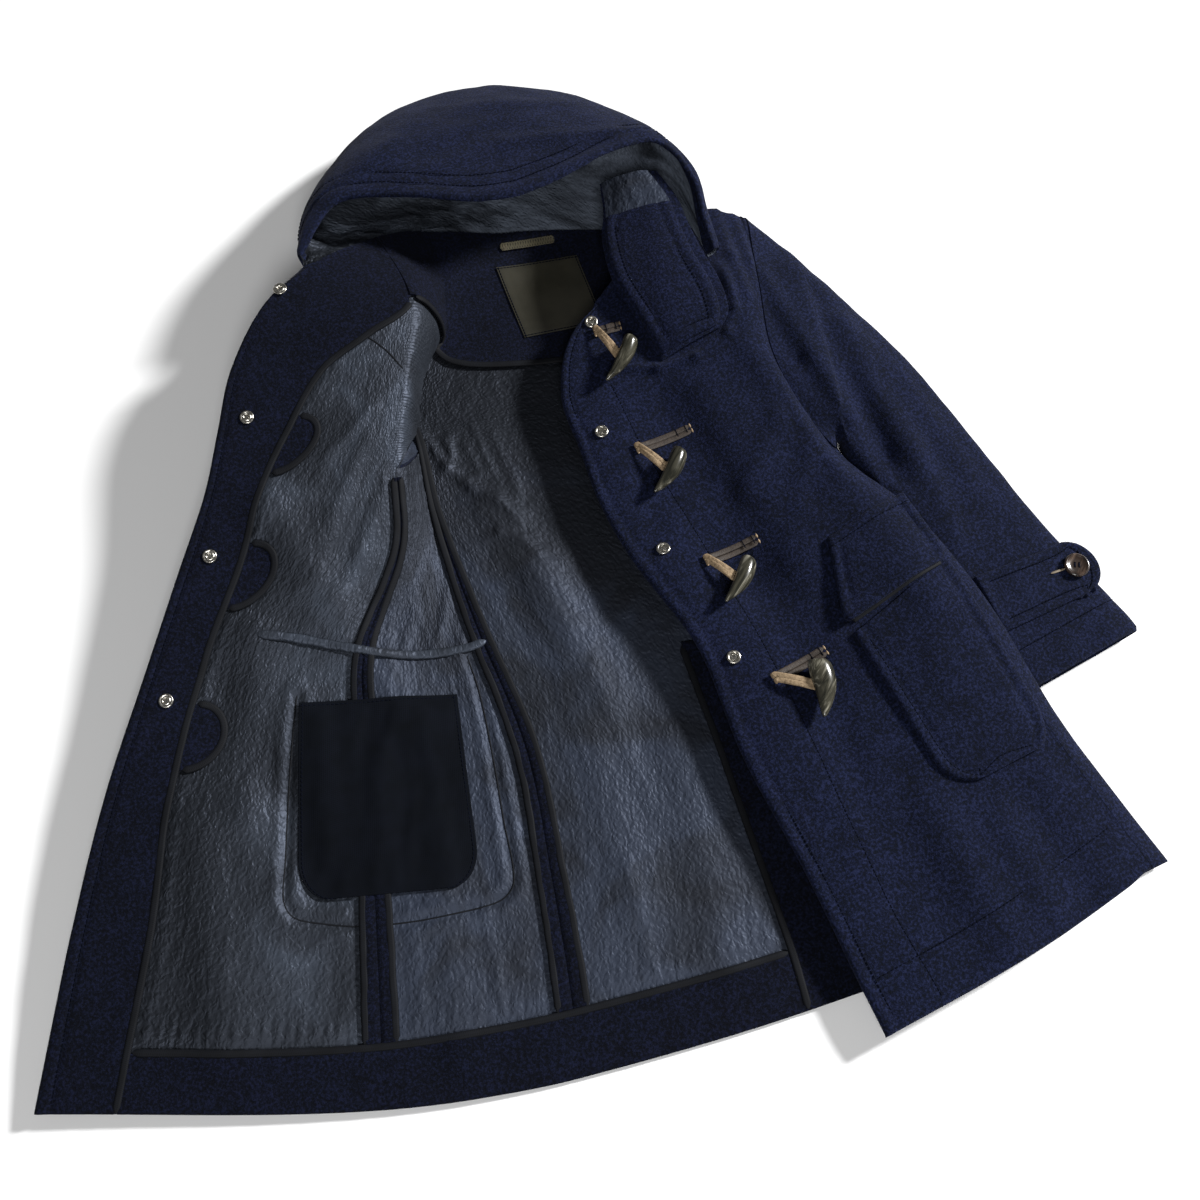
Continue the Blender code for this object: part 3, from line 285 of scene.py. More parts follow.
# Ridges and hollows of the hood's top, in plan.
HOOD_FOLDS = ((60, 430, 150, 408, 2.2, 9.0), (150, 408, 190, 404, 1.8, 8.0),
              (-20, 440, 60, 452, -1.6, 12.0), (-110, 425, -40, 470, 1.8, 12.0),
              (40, 500, 130, 470, 1.8, 11.0), (-70, 400, -20, 410, -1.4, 8.0),
              (100, 392, 150, 396, -1.6, 7.0))

# Round forms: the horn's share of its length and of its half width, and the metal's and the
# button's radius and height.
HORN = ((0.0, 0.50), (0.008, 0.80), (0.035, 1.0), (0.10, 1.12), (0.26, 1.18), (0.42, 1.10),
        (0.55, 0.97), (0.68, 0.79), (0.80, 0.59), (0.91, 0.37), (0.97, 0.22), (0.995, 0.1))
SOCKET = ((6.1, 0.0), (6.35, 0.5), (6.2, 1.2), (5.7, 1.75), (5.0, 1.9), (4.5, 1.6), (4.1, 1.5),
          (3.7, 1.8), (3.2, 2.15), (2.7, 2.1), (2.2, 1.5), (2.05, 0.5), (1.0, 0.4))
STUD = ((6.1, 0.0), (6.35, 0.5), (6.2, 1.3), (5.8, 1.8), (5.1, 2.0), (4.2, 1.9), (3.8, 1.5),
        (3.6, 0.6), (2.0, 0.5), (0.8, 0.5))
BUTTON_RINGS = ((9.2, 0.0), (10.6, 0.5), (11.2, 1.5), (11.2, 2.6), (10.6, 3.5), (9.6, 3.8),
                (8.6, 3.4), (7.6, 2.75), (5.0, 2.55), (2.0, 2.5))

# Thicknesses, depths under the wool's outer face, and distances from edges.
WOOL, SEAM_GAP, LINING, TRIM = 2.0, 0.3, 0.6, 1.8
FILM = WOOL + SEAM_GAP + LINING     # the film's face
ON_FILM = FILM + 0.75               # the lower face of what lies on the film
TRIM_TOP = ON_FILM + TRIM
NECK_RISE = 1.3                     # the neck facing lies on the other facings
FACING_DROP = 0.3                   # the front facing lies so much deeper than the trims
FILM_START = 30.0                   # level of the film's edge under the turned hem
HEM_STITCH, HEM_TOP = 43.0, 47.0    # levels of the hem's stitching and of its bound edge
CUFF_STITCH = 34.0
BRIM, BRIM_STITCHES = 30.0, (18.0, 32.0)    # width that is turned in, and rows of stitching
POCKET_STITCH = 10.5
CORNER_INSET = 9.0                  # of the hood corner's facing from the outer layer's edge
CORNER_FILM = 0.81                  # share of the corner's length at which its film begins
TAB_LIFT = 0.8                      # of the cuff's tab over the sleeve
HORN_LENGTH, HORN_LIFT = 50.0, 11.6
LACE_SHIFT, LACE_TURN = 2.6, 1.9    # from a toggle's middle to each lace, and a lace's turn
HOLE_SHIFT = 1.9                    # from the button's middle to each hole, both ways
FLOOR_GAP = 0.0004                  # metres
UP, DOWN = np.array((0.0, 0.0, 1.0)), np.array((0.0, 0.0, -1.0))
# Turns round a sleeve's section: over the front, down the rear and back under the arm.
SLEEVE_TURNS = np.radians(np.concatenate((172.0 - 166.0 * np.arange(9) / 8.0,
                                          -8.0 - 122.0 * np.arange(9) / 8.0,
                                          -138.0 - 42.0 * np.arange(7) / 6.0)))

LAID = {}       # surfaces that later pieces lie on


# --- Numbers -------------------------------------------------------------------------------


def unit(vectors):
    return vectors / np.maximum(np.linalg.norm(vectors, axis=-1, keepdims=True), 1e-9)


def knot_slopes(span, step, calm):
    """Slopes at knots, given the steps between them; calm ones never overshoot."""
    inner = (step[:-1] * span[:-1] + step[1:] * span[1:]) / (span[:-1] + span[1:])
    if calm:
        both = step[:-1] + step[1:]
        safe = np.where(np.abs(both) < 1e-9, 1.0, both)
        inner = np.where(step[:-1] * step[1:] > 0.0, 2.0 * step[:-1] * step[1:] / safe, 0.0)
    return np.concatenate((step[:1], inner, step[-1:]))


def cubic(share, span, before, slope_before, after, slope_after):
    square = share * share
    cube = square * share
    return ((2 * cube - 3 * square + 1) * before + (cube - 2 * square + share) * slope_before * span
            + (3 * square - 2 * cube) * after + (cube - square) * slope_after * span)


def smooth(knots, values, where, calm=False):
    """Curve through values at uneven knots, at every place in where."""
    knots = np.asarray(knots, float)
    values = np.asarray(values, float)
    where = np.asarray(where, float)
    shape = (-1,) + (1,) * (values.ndim - 1)
    span = np.diff(knots).reshape(shape)
    slopes = knot_slopes(span, np.diff(values, axis=0) / span, calm)
    i = np.clip(np.searchsorted(knots, where, side="right") - 1, 0, len(knots) - 2)
    extra = where.shape + (1,) * (values.ndim - 1)
    width = (knots[i + 1] - knots[i]).reshape(extra)
    share = (where - knots[i]).reshape(extra) / width
    return cubic(share, width, values[i], slopes[i], values[i + 1], slopes[i + 1])


def near(distance, width):
    """One on a line, falling to nothing a few widths away."""
    return np.exp(-(distance / width) ** 2)


def hump(share):
    """Nothing at both ends of a share from 0 to 1 and one in the middle."""
    return np.sin(math.pi * np.clip(share, 0.0, 1.0))


def line_away(x, y, x0, y0, x1, y1):
    """Distance in plan from places to the straight line between two others."""
    dx, dy = x1 - x0, y1 - y0
    along = np.clip(((x - x0) * dx + (y - y0) * dy) / (dx * dx + dy * dy), 0.0, 1.0)
    return np.hypot(x - x0 - along * dx, y - y0 - along * dy)


def fold_lift(folds, x, y):
    """Height added by soft folds at arrays of places in plan."""
    total = np.zeros(np.shape(x))
    for *line, height, width in folds:
        total += height * near(line_away(x, y, *line), width)
    return total


def line_distance(points, line):
    """Distance in plan from every point of a grid to a line of places."""
    x, y = points[..., 0], points[..., 1]
    return np.min([line_away(x, y, *start, *end) for start, end in zip(line, line[1:])], axis=0)


def body(girth, level):
    """Points of the coat's outer face at arrays of girth and level."""
    girth, level = np.broadcast_arrays(np.asarray(girth, float), np.asarray(level, float))
    shape = girth.shape
    girth, level = girth.ravel(), level.ravel()
    lines = smooth(LEVELS, BODY, level).transpose(1, 0, 2)
    span = np.diff(GIRTH)[:, None, None]
    slopes = knot_slopes(span, np.diff(lines, axis=0) / span, True)
    i = np.clip(np.searchsorted(GIRTH, girth, side="right") - 1, 0, len(GIRTH) - 2)
    n = np.arange(len(girth))
    width = (GIRTH[i + 1] - GIRTH[i])[:, None]
    share = (girth - GIRTH[i])[:, None] / width
    point = cubic(share, width, lines[i, n], slopes[i, n], lines[i + 1, n], slopes[i + 1, n])
    fade = np.clip((BACK_L - girth) / 120.0, 0.0, 1.0)
    point[:, 2] += fade * fold_lift(FOLDS, point[:, 0], point[:, 1])
    fade = np.clip((girth - CREST_L) / 40.0, 0.0, 1.0)
    point[:, 2] += fade * fold_lift(TOP_FOLDS, point[:, 0], point[:, 1])
    point[:, 2] = np.maximum(point[:, 2], 0.0)
    return point.reshape(shape + (3,))


def lay(girth, level):
    """Points of the body and their normals out of the coat."""
    girth, level = np.broadcast_arrays(np.asarray(girth, float), np.asarray(level, float))
    points = body(girth, level)
    across = body(np.minimum(girth + 3, EDGE_L), level) - body(np.maximum(girth - 3, 0), level)
    along = body(girth, np.minimum(level + 3, NECK)) - body(girth, np.maximum(level - 3, 0))
    normals = unit(np.cross(along, across))
    normals[points[..., 2] < 0.01] = DOWN
    return points, normals


def rumple(x, y, seed):
    """Seeded smooth noise from about -1 to 1, one hill or hollow to each unit of x and y."""
    column, row = np.floor(x).astype(np.int64), np.floor(y).astype(np.int64)
    fx, fy = x - column, y - row
    ease_x = fx * fx * fx * (fx * (fx * 6 - 15) + 10)
    ease_y = fy * fy * fy * (fy * (fy * 6 - 15) + 10)

    def lean(dx, dy):
        mixed = (column + dx) * 374761393 + (row + dy) * 668265263 + seed * 974634777
        mixed &= 0xFFFFFFFF
        mixed = ((mixed ^ (mixed >> 13)) * 1274126177) & 0xFFFFFFFF
        angle = (mixed ^ (mixed >> 16)) * (2.0 * math.pi / 4294967296.0)
        return np.cos(angle) * (fx - dx) + np.sin(angle) * (fy - dy)

    low = lean(0, 0) * (1 - ease_x) + lean(1, 0) * ease_x
    high = lean(0, 1) * (1 - ease_x) + lean(1, 1) * ease_x
    return 1.6 * (low * (1 - ease_y) + high * ease_y)


def crinkle(u, v, seed=1):
    """Height in mm of the bonded film's crinkles at a place in the cut."""
    warp_u = u + 5.0 * rumple(u / 24, v / 24, seed + 10)
    warp_v = v + 5.0 * rumple(u / 24, v / 24, seed + 11)
    upright = 1.0 - np.abs(rumple(warp_u / 5.2, warp_v / 17.0, seed + 1))
    pebble = 1.0 - np.abs(rumple(warp_u / 4.8, warp_v / 5.4, seed + 2))
    broad = 1.0 - np.abs(rumple(warp_u / 15.0, warp_v / 38.0, seed + 3))
    mask = 1.0 / (1.0 + np.exp(-7.0 * rumple(u / 95, v / 130, seed + 4)))
    calm = 1.0 / (1.0 + np.exp(-6.0 * (rumple(u / 60, v / 85, seed + 5) + 0.25)))
    fine = (1.15 * upright ** 3 * mask + 0.8 * pebble ** 2 * (1.0 - mask)) * (0.35 + 0.65 * calm)
    height = fine + 1.1 * broad ** 4 + 0.5 * rumple(u / 40, v / 70, seed + 6)
    return bpy.context.scene.coat_cloth.crinkle * height


def spaced(first, last, step, roll=2.4):
    """Places along a side, closer together where the cloth's edges roll over."""
    close = roll * np.array((0.0, 0.06, 0.25, 0.6))
    count = max(2, int(round((last - first - 2 * roll) / step)))
    middle = np.linspace(first + roll, last - roll, count + 1)
    return np.concatenate((first + close, middle, last - close[::-1]))


def run(points, axis):
    """Distances along a grid's lines from their first points."""
    step = np.linalg.norm(np.diff(points, axis=axis), axis=2)
    start = np.zeros_like(np.take(step, [0], axis=axis))
    return np.concatenate((start, np.cumsum(step, axis=axis)), axis=axis)


def from_edges(points, sides):
    """Distance over a grid to the nearest of its sides a, b (first line) and c, d (second)."""
    away = np.full(points.shape[:2], 1e6)
    across, along = run(points, 0), run(points, 1)
    for side, distance in (("a", across), ("b", across[-1:] - across), ("c", along),
                           ("d", along[:, -1:] - along)):
        if side in sides:
            away = np.minimum(away, distance)
    return away


def rolled(away, radius):
    """How far a face draws in near an edge that rolls over with a radius."""
    near_edge = radius - np.minimum(away, radius)
    return radius - np.sqrt(np.maximum(radius * radius - near_edge * near_edge, 0.0))


def inner_face(relief, share, doubling, drawn):
    """Height of the wool's inner face, which follows a share of the outer one's relief."""
    return np.minimum(relief * share - WOOL - doubling + drawn, relief - drawn - 0.4)


def grid_normals(points, upward=False):
    """Normals of a grid from its own lines, or turned upward."""
    normals = unit(np.cross(np.gradient(points, axis=1), np.gradient(points, axis=0)))
    return -normals if upward and normals[..., 2].mean() < 0.0 else normals


def refined(points, count, closed=False):
    """A finer grid through a coarse one, by smooth curves both ways, above the floor."""
    rows, columns = points.shape[:2]
    along = np.linspace(0, columns - 1, count[1])
    fine = smooth(np.arange(columns), points.transpose(1, 0, 2), along).transpose(1, 0, 2)
    knots, where = np.arange(rows), np.linspace(0, rows - 1, count[0])
    if closed:
        fine = np.concatenate((fine[-2:], fine, fine[:3]))
        knots, where = np.arange(rows + 5), 2.0 + np.arange(count[0]) * rows / count[0]
    fine = smooth(knots, fine, where)
    fine[..., 2] = np.maximum(fine[..., 2], 0.0)
    return fine


def even_rows(z, times=6):
    """Heights over a grid evened out, so that stiff cloth bridges small hollows."""
    for _ in range(times):
        padded = np.pad(z, 1, mode="edge")
        z = (padded[:-2, 1:-1] + padded[2:, 1:-1] + padded[1:-1, :-2] + padded[1:-1, 2:] + z) / 5.0
    return z


def even_line(z, times=12):
    """Heights along a strip evened out, hardly below where they were."""
    even = z.copy()
    for _ in range(times):
        even[1:-1] = (even[:-2] + even[1:-1] + even[2:]) / 3.0
    return np.maximum(even, z - 0.2)


def between(where, places, values):
    """Points read off at places along a line."""
    return np.stack([np.interp(where, places, values[:, k]) for k in range(3)], -1)


def place(points):
    """Table millimetres to metres about the part's origin."""
    return (np.asarray(points, float) + SHIFT) * MM


class Bed:
    """Laid surfaces that other pieces lie on."""

    def __init__(self, *grids):
        verts, faces = [], []
        for points in grids:
            rows, columns = points.shape[:2]
            index = np.arange(rows * columns).reshape(rows, columns) + len(verts)
            verts += points.reshape(-1, 3).tolist()
            quads = (index[:-1, :-1], index[1:, :-1], index[1:, 1:], index[:-1, 1:])
            faces += np.stack(quads, -1).reshape(-1, 4).tolist()
        self.tree = BVHTree.FromPolygons(verts, faces)

    def height(self, x, y):
        """Height of the topmost surface, or of the nearest one beside it."""
        flat = np.zeros(x.size)
        for k, (px, py) in enumerate(zip(x.ravel(), y.ravel())):
            hit = self.tree.ray_cast(Vector((px, py, 400.0)), Vector(DOWN))[0]
            if hit is None:
                hit = self.tree.find_nearest(Vector((px, py, 45.0)))[0]
            flat[k] = hit.z
        return flat.reshape(x.shape)

    def rest(self, x, y, step=4.0):
        """Points and upward normals at arrays of places in plan."""
        x, y = np.broadcast_arrays(np.asarray(x, float), np.asarray(y, float))
        z = self.height(x, y)
        slope_x = (self.height(x + step, y) - self.height(x - step, y)) / (2 * step)
        slope_y = (self.height(x, y + step) - self.height(x, y - step)) / (2 * step)
        normals = np.stack((-slope_x, -slope_y, np.ones_like(z)), -1)
        return np.stack((x, y, z), -1), unit(normals)


# --- Meshes --------------------------------------------------------------------------------


def measure(name):
    """One of the cloth's sizes, in millimetres."""
    return getattr(bpy.context.scene.coat_cloth, name) / MM


def keep(piece, slot, *nodes):
    """The piece rides on the coat and stands for its CAD nodes, which it hides; the slot is not
    used.
    """
    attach(piece, "root")
    if nodes:
        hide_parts(*nodes)
    return piece


def add_mesh(name, points, faces, finish, uvs=None, uv_faces=None):
    """A piece at the origin from points in table millimetres."""
    mesh = bpy.data.meshes.new(name)
    mesh.from_pydata(place(points).tolist(), [], [list(face) for face in faces])
    mesh.update()
    if uvs is not None:
        layer = mesh.uv_layers.new(name="cut")
        if uv_faces is None:
            uv_faces = [corner for face in faces for corner in face]
        order = np.asarray(uv_faces).ravel()
        layer.data.foreach_set("uv", (np.asarray(uvs)[order] * MM).ravel())
    mesh.shade_smooth()
    mesh.set_sharp_from_angle(angle=math.radians(55))
    mesh.materials.append(look(finish))
    piece = bpy.data.objects.new(name, mesh)
    bpy.context.scene.collection.objects.link(piece)
    return piece


def shell(name, grid, outer, inner, finish, slot, *nodes, cut=None, closed=False):
    """A wall of cloth between two heights over a grid, shut along its edges and kept."""
    points, normals = grid
    rows, columns = points.shape[:2]
    outer, inner = (np.broadcast_to(height, (rows, columns))[..., None]
                    for height in (outer, inner))
    cut = np.stack(cut or (run(points, 0), run(points, 1)), -1)
    vert = np.arange(rows * columns).reshape(rows, columns)
    if closed:
        vert = np.concatenate((vert, vert[:1]))
        cut = np.concatenate((cut, cut[-1:] + (cut[-1:] - cut[-2:-1])))
    count = vert.size
    index = np.arange(count).reshape(vert.shape)
    a, b, c, d = index[:-1, :-1], index[1:, :-1], index[1:, 1:], index[:-1, 1:]
    quads = [(a, d, c, b), (a + count, b + count, c + count, d + count)]
    sides = [(index[:-1, 0], index[1:, 0]), (index[1:, -1], index[:-1, -1])]
    if not closed:
        sides += [(index[0, 1:], index[0, :-1]), (index[-1, :-1], index[-1, 1:])]
    quads += [(start, end, end + count, start + count) for start, end in sides]
    faces = np.concatenate([np.stack(quad, -1).reshape(-1, 4) for quad in quads])
    facing = np.cross(np.gradient(points, axis=1), np.gradient(points, axis=0))
    if (facing * normals).sum() < 0.0:
        faces = faces[:, ::-1]
    both = np.concatenate((vert.ravel(), vert.ravel() + rows * columns))
    uvs = np.tile(cut.reshape(-1, 2), (2, 1))
    verts = np.concatenate([(points + normals * height).reshape(-1, 3)
                            for height in (outer, inner)])
    verts[:, 2] = np.maximum(verts[:, 2], 0.0)
    return keep(add_mesh(name, verts, both[faces], finish, uvs, faces), slot, *nodes)


def ring_faces(index):
    """Quads between rings of vertices that follow each other."""
    near_ring, far_ring = index[:-1], index[1:]
    return np.stack((near_ring, np.roll(near_ring, -1, axis=1), np.roll(far_ring, -1, axis=1),
                     far_ring), -1).reshape(-1, 4)


def band(name, runs, width, height, finish, slot, *nodes, spots=10):
    """Flat bands with rounded sides: each run is a line of points and the normals under it."""
    verts, faces, uvs = [], [], []
    angles = 2.0 * math.pi * np.arange(spots) / spots
    side_share, rise_share = (np.sign(wave) * np.abs(wave) ** 0.7
                              for wave in (np.cos(angles), np.sin(angles)))
    for points, normals in runs:
        forward = unit(np.gradient(points, axis=0))
        side = unit(np.cross(forward, normals))
        rise = unit(np.cross(side, forward))
        steps = len(points)
        length = run(points[None], 1)[0]
        wave = 1.0 + 0.05 * rumple(length / 9.0, 0.0, 3)
        taper = np.ones(steps)
        taper[0] = taper[-1] = 0.35
        ring = (points[:, None] + side[:, None] * (side_share * width / 2)[None, :, None]
                * (wave * taper)[:, None, None]
                + rise[:, None] * (rise_share * height / 2)[None, :, None] * taper[:, None, None])
        index = len(verts) + np.arange(steps * spots).reshape(steps, spots)
        verts += ring.reshape(-1, 3).tolist()
        uvs += [(float(s), float(k) * width / spots) for s in length for k in range(spots)]
        faces += ring_faces(index)[:, [0, 3, 2, 1]].tolist()
        for end in (index[0].tolist(), index[-1, ::-1].tolist()):
            for k in range(1, spots // 2):
                faces.append([end[k - 1], end[k], end[-k - 1], end[-k]])
    return keep(add_mesh(name, np.array(verts), faces, finish, np.array(uvs)), slot, *nodes)


def primitive(kind, **settings):
    """One of Blender's own forms, with its place and turn applied."""
    bpy.ops.object.select_all(action="DESELECT")
    getattr(bpy.ops.mesh, "primitive_%s_add" % kind)(**settings)
    bpy.ops.object.transform_apply(location=True, rotation=True, scale=True)
    return bpy.context.object


def stitch_form():
    """Points and faces of one thread stitch, a capsule along X, modelled once."""
    piece = primitive("cylinder", vertices=6, radius=0.5, depth=2.0, end_fill_type="NGON",
                      rotation=(0.0, math.pi / 2.0, 0.0))
    bpy.ops.object.mode_set(mode="EDIT")
    for side in (-1.0, 1.0):
        bpy.ops.mesh.select_mode(type="FACE")
        bpy.ops.mesh.select_all(action="DESELECT")
        bpy.ops.object.mode_set(mode="OBJECT")
        for face in piece.data.polygons:
            face.select = face.normal.x * side > 0.9
        bpy.ops.object.mode_set(mode="EDIT")
        bpy.ops.mesh.extrude_region_move(TRANSFORM_OT_translate={"value": (0.45 * side, 0.0, 0.0)})
        bpy.ops.transform.resize(value=(1.0, 0.4, 0.4), center_override=(1.45 * side, 0.0, 0.0))
    bpy.ops.mesh.select_all(action="SELECT")
    bpy.ops.mesh.normals_make_consistent(inside=False)
    bpy.ops.object.mode_set(mode="OBJECT")
    points = np.array([vert.co for vert in piece.data.vertices])
    faces = [list(face.vertices) for face in piece.data.polygons]
    mesh = piece.data
    bpy.data.objects.remove(piece)
    bpy.data.meshes.remove(mesh)
    return points, faces


def stitched(name, rows, slot, pitch=None, finish="thread"):
    """Copies of one stitch along rows of points, with the normals under them."""
    pitch = pitch or measure("stitch_pitch")
    form, form_faces = stitch_form()
    verts, faces = [], []
    for points, normals in rows:
        places = run(points[None], 1)[0]
        spots = np.arange(pitch / 2, places[-1] - pitch / 2, pitch)
        centre = between(spots, places, points)
        up = unit(between(spots, places, np.broadcast_to(normals, points.shape)))
        forward = unit(between(spots + 1.0, places, points) - centre)
        side = unit(np.cross(up, forward))
        rise = np.cross(forward, side)
        for c, f, s, r in zip(centre, forward, side, rise):
            base = len(verts)
            verts += (c + form[:, :1] * f + form[:, 1:2] * s + form[:, 2:] * r).tolist()
            faces += [[base + k for k in face] for face in form_faces]
    return keep(add_mesh(name, verts, faces, finish), slot)


def cut_area(points):
    """Flat area of a grid's cloth in square millimetres."""
    a, b, c, d = points[:-1, :-1], points[1:, :-1], points[1:, 1:], points[:-1, 1:]
    return float(np.linalg.norm(np.cross(c - a, d - b), axis=-1).sum()) / 2.0


def sheet(points, parts=(), closed=False):
    """Measures a cloth piece's cut on its grid: its width, length and area, which are not kept."""
    if closed:
        points = np.concatenate((points, points[:1]))
    width = float(run(points, 0)[-1].max())
    length = float(run(points, 1)[:, -1].max())
    area = min(cut_area(points), 0.999 * width * length)


def along_line(line, step):
    """Places at even steps along a line in plan, rounded through its corners."""
    line = np.array(line, float)
    places = np.concatenate(([0.0], np.cumsum(np.linalg.norm(np.diff(line, axis=0), axis=1))))
    count = max(2, int(places[-1] / step))
    return smooth(places, line, np.linspace(0.0, places[-1], count + 1))


def turned(name, rings, sides, finish):
    """A round form about Z at the origin: a disc drawn on through rings of radius and height."""
    radius, height = rings[0]
    piece = primitive("circle", vertices=sides, radius=radius, fill_type="NGON",
                      location=(0.0, 0.0, height))
    piece.name = name
    bpy.ops.object.mode_set(mode="EDIT")
    bpy.ops.mesh.select_all(action="SELECT")
    for (before, low), (after, high) in zip(rings, rings[1:]):
        bpy.ops.mesh.extrude_region_move(TRANSFORM_OT_translate={"value": (0.0, 0.0, high - low)})
        share = after / before
        bpy.ops.transform.resize(value=(share, share, 1.0), center_override=(0.0, 0.0, high))
    bpy.ops.mesh.select_all(action="SELECT")
    bpy.ops.mesh.normals_make_consistent(inside=False)
    bpy.ops.object.mode_set(mode="OBJECT")
    piece.data.materials.append(look(finish))
    return piece


def choose(piece):
    """Makes the piece the one that Blender's operators work on."""
    bpy.ops.object.select_all(action="DESELECT")
    bpy.context.view_layer.objects.active = piece
    piece.select_set(True)


def applied(piece, kind, **settings):
    """Adds a modifier to the piece and applies it."""
    choose(piece)
    modifier = piece.modifiers.new(kind.title(), kind)
    for setting, value in settings.items():
        setattr(modifier, setting, value)
    bpy.ops.object.modifier_apply(modifier=modifier.name)


def settle(piece, origin, x_axis, z_axis):
    """Moves a form made at the origin, in millimetres, to its place, and smooths its shading."""
    x_axis = Vector(x_axis).normalized()
    z_axis = Vector(z_axis)
    z_axis = (z_axis - x_axis * z_axis.dot(x_axis)).normalized()
    y_axis = z_axis.cross(x_axis)
    turn = Matrix((x_axis, y_axis, z_axis)).transposed().to_4x4()
    spot = Vector(place(np.array(origin, float)).tolist())
    piece.data.transform(Matrix.Translation(spot) @ turn @ Matrix.Scale(MM, 4))
    piece.data.update()
    choose(piece)
    bpy.ops.object.shade_smooth_by_angle(angle=math.radians(50))


# --- The coat's own lines --------------------------------------------------------------------


def front_end(level):
    """Girth at which the right front ends: its side seam, then the armhole and the shoulder."""
    level = np.asarray(level, float)
    low = SIDE_R + (CURL_R - SIDE_R) * np.clip((level - ARM) / 60.0, 0.0, 1.0)
    high = CURL_R + (SHOULDER_R - CURL_R) * np.clip((level - SHOULDER + 45.0) / 45.0, 0.0, 1.0)
    return np.where(level < SHOULDER - 45.0, low, high)


def back_start(level):
    """Girth at which the back begins: its side seam, then the shoulder."""
    level = np.asarray(level, float)
    return BACK_R + (SHOULDER_R - BACK_R) * np.clip((level - SHOULDER + 15.0) / 15.0, 0.0, 1.0)


def facing_edge(level):
    """Girth of the right facing's inner edge."""
    table = np.array(FACING, float)
    return SIDE_R * np.clip(smooth(table[:, 0], table[:, 1], level, calm=True), 0.0, 0.995)


def neck_edge(girth):
    """Level of the neck facing's lower edge."""
    table = np.array(NECK_FACING, float)
    return smooth(table[:, 0], table[:, 1], girth, calm=True)


def girths_between(start, end, levels, step):
    """A grid of girths between two lines, and the levels that go with it."""
    start = np.broadcast_to(np.asarray(start, float), levels.shape)
    end = np.broadcast_to(np.asarray(end, float), levels.shape)
    width = float((end - start).max())
    shares = spaced(0.0, width, step)[:, None] / width
    girth = start[None] + shares * (end - start)[None]
    return girth, np.broadcast_to(levels, girth.shape)


def film_relief(points, girth, level, amount):
    """Height of the bonded film over its own depth: crinkles, creases, and calm under the trims."""
    calm = np.minimum(girth - facing_edge(level), 400.0)
    calm = np.minimum(calm, level - 52.0)
    lower = level < ARM + 4.0
    for seam in (SIDE_R, BACK_R):
        calm = np.minimum(calm, np.where(lower, np.abs(girth - seam) - 17.0, 400.0))
    on_vent = np.abs(girth - SPINE - 25.0) - 27.0
    calm = np.minimum(calm, np.maximum(on_vent, level - VENT_TOP))
    calm = np.minimum(calm, neck_edge(np.clip(girth, 254.0, 720.0)) - level)
    for stay_level, half, reach in STAYS:
        away = np.hypot((girth - facing_edge(level)) / reach, (level - stay_level) / half)
        calm = np.minimum(calm, (away - 1.0) * 30.0)
    height = crinkle(girth, level) * amount
    height = height + 0.7 * fold_lift(FILM_CREASES, points[..., 0], points[..., 1])
    height -= 1.6 * near(line_distance(points, YOKE), 2.8)
    tuck = line_distance(points, TUCK)
    pocket = line_distance(points, POCKET_SEAM)
    waves = np.sin(girth / 1.35 + 2.0 * rumple(girth / 30, level / 30, 31))
    height += (1.2 + 0.25 * waves) * near(tuck - 7.0, 7.0)
    height += 1.7 * near(pocket - 7.5, 6.0) - 1.9 * near(pocket, 3.6)
    hem_waves = np.sin(girth / 1.6 + 2.0 * rumple(girth / 26, level / 40, 32))
    height += 0.7 * near(level - 58.0, 12.0) * (1.0 + hem_waves)
    edge_waves = np.sin(level / 1.7 + 2.0 * rumple(girth / 30, level / 26, 33))
    height += 0.5 * near(girth - facing_edge(level) - 9.0, 7.0) * (1.0 + edge_waves)
    return np.maximum(height, 0.0) * (0.08 + 0.92 * np.clip(calm / 9.0, 0.0, 1.0) ** 1.5)


def allowance_width(level):
    """Width of a seam allowance, which narrows upward."""
    return 14.0 - 5.0 * level / ARM


def wool_relief(points, girth, level, strength=1.0):
    """Small unevenness of thick wool over its main folds."""
    small = (0.7 * rumple(girth / 46, level / 70, 41) + 0.3 * rumple(girth / 17, level / 22, 42))
    return fold_lift(WOOL_CREASES, points[..., 0], points[..., 1]) + strength * small


def inside_line(girths, levels, depth):
    """Points and upward normals of a line on the opened inside, at a depth under the wool."""
    girths, levels = np.broadcast_arrays(np.asarray(girths, float), np.asarray(levels, float))
    points, normals = lay(girths, levels)
    return points - normals * depth, -normals


def edge_run(points, normals, side, inset, lift):
    """A line along a grid's side, at a distance in from it and a height over it."""
    if side in "cd":
        points, normals = points.transpose(1, 0, 2), normals.transpose(1, 0, 2)
    if side in "bd":
        points, normals = points[::-1], normals[::-1]
    across = run(points, 0)
    columns = range(across.shape[1])
    line = np.array([between(inset, across[:, k], points[:, k]) for k in columns])
    up = unit(np.array([between(inset, across[:, k], normals[:, k]) for k in columns]))
    return line + up * lift, up


def corner_run(points, normals, inset, lift, sides):
    """One line round a patch's sides, inset from them, with rounded corners."""
    parts = []
    for side in sides:
        line, up = edge_run(points, normals, side, inset, lift)
        keep_from = run(line[None], 1)[0]
        inner = (keep_from > inset) & (keep_from < keep_from[-1] - inset)
        parts.append((line[inner], up[inner]))
    line, up = parts[0]
    for next_line, next_up in parts[1:]:
        if np.linalg.norm(line[-1] - next_line[0]) > np.linalg.norm(line[-1] - next_line[-1]):
            next_line, next_up = next_line[::-1], next_up[::-1]
        line = np.concatenate((line, next_line))
        up = np.concatenate((up, next_up))
    return line, up


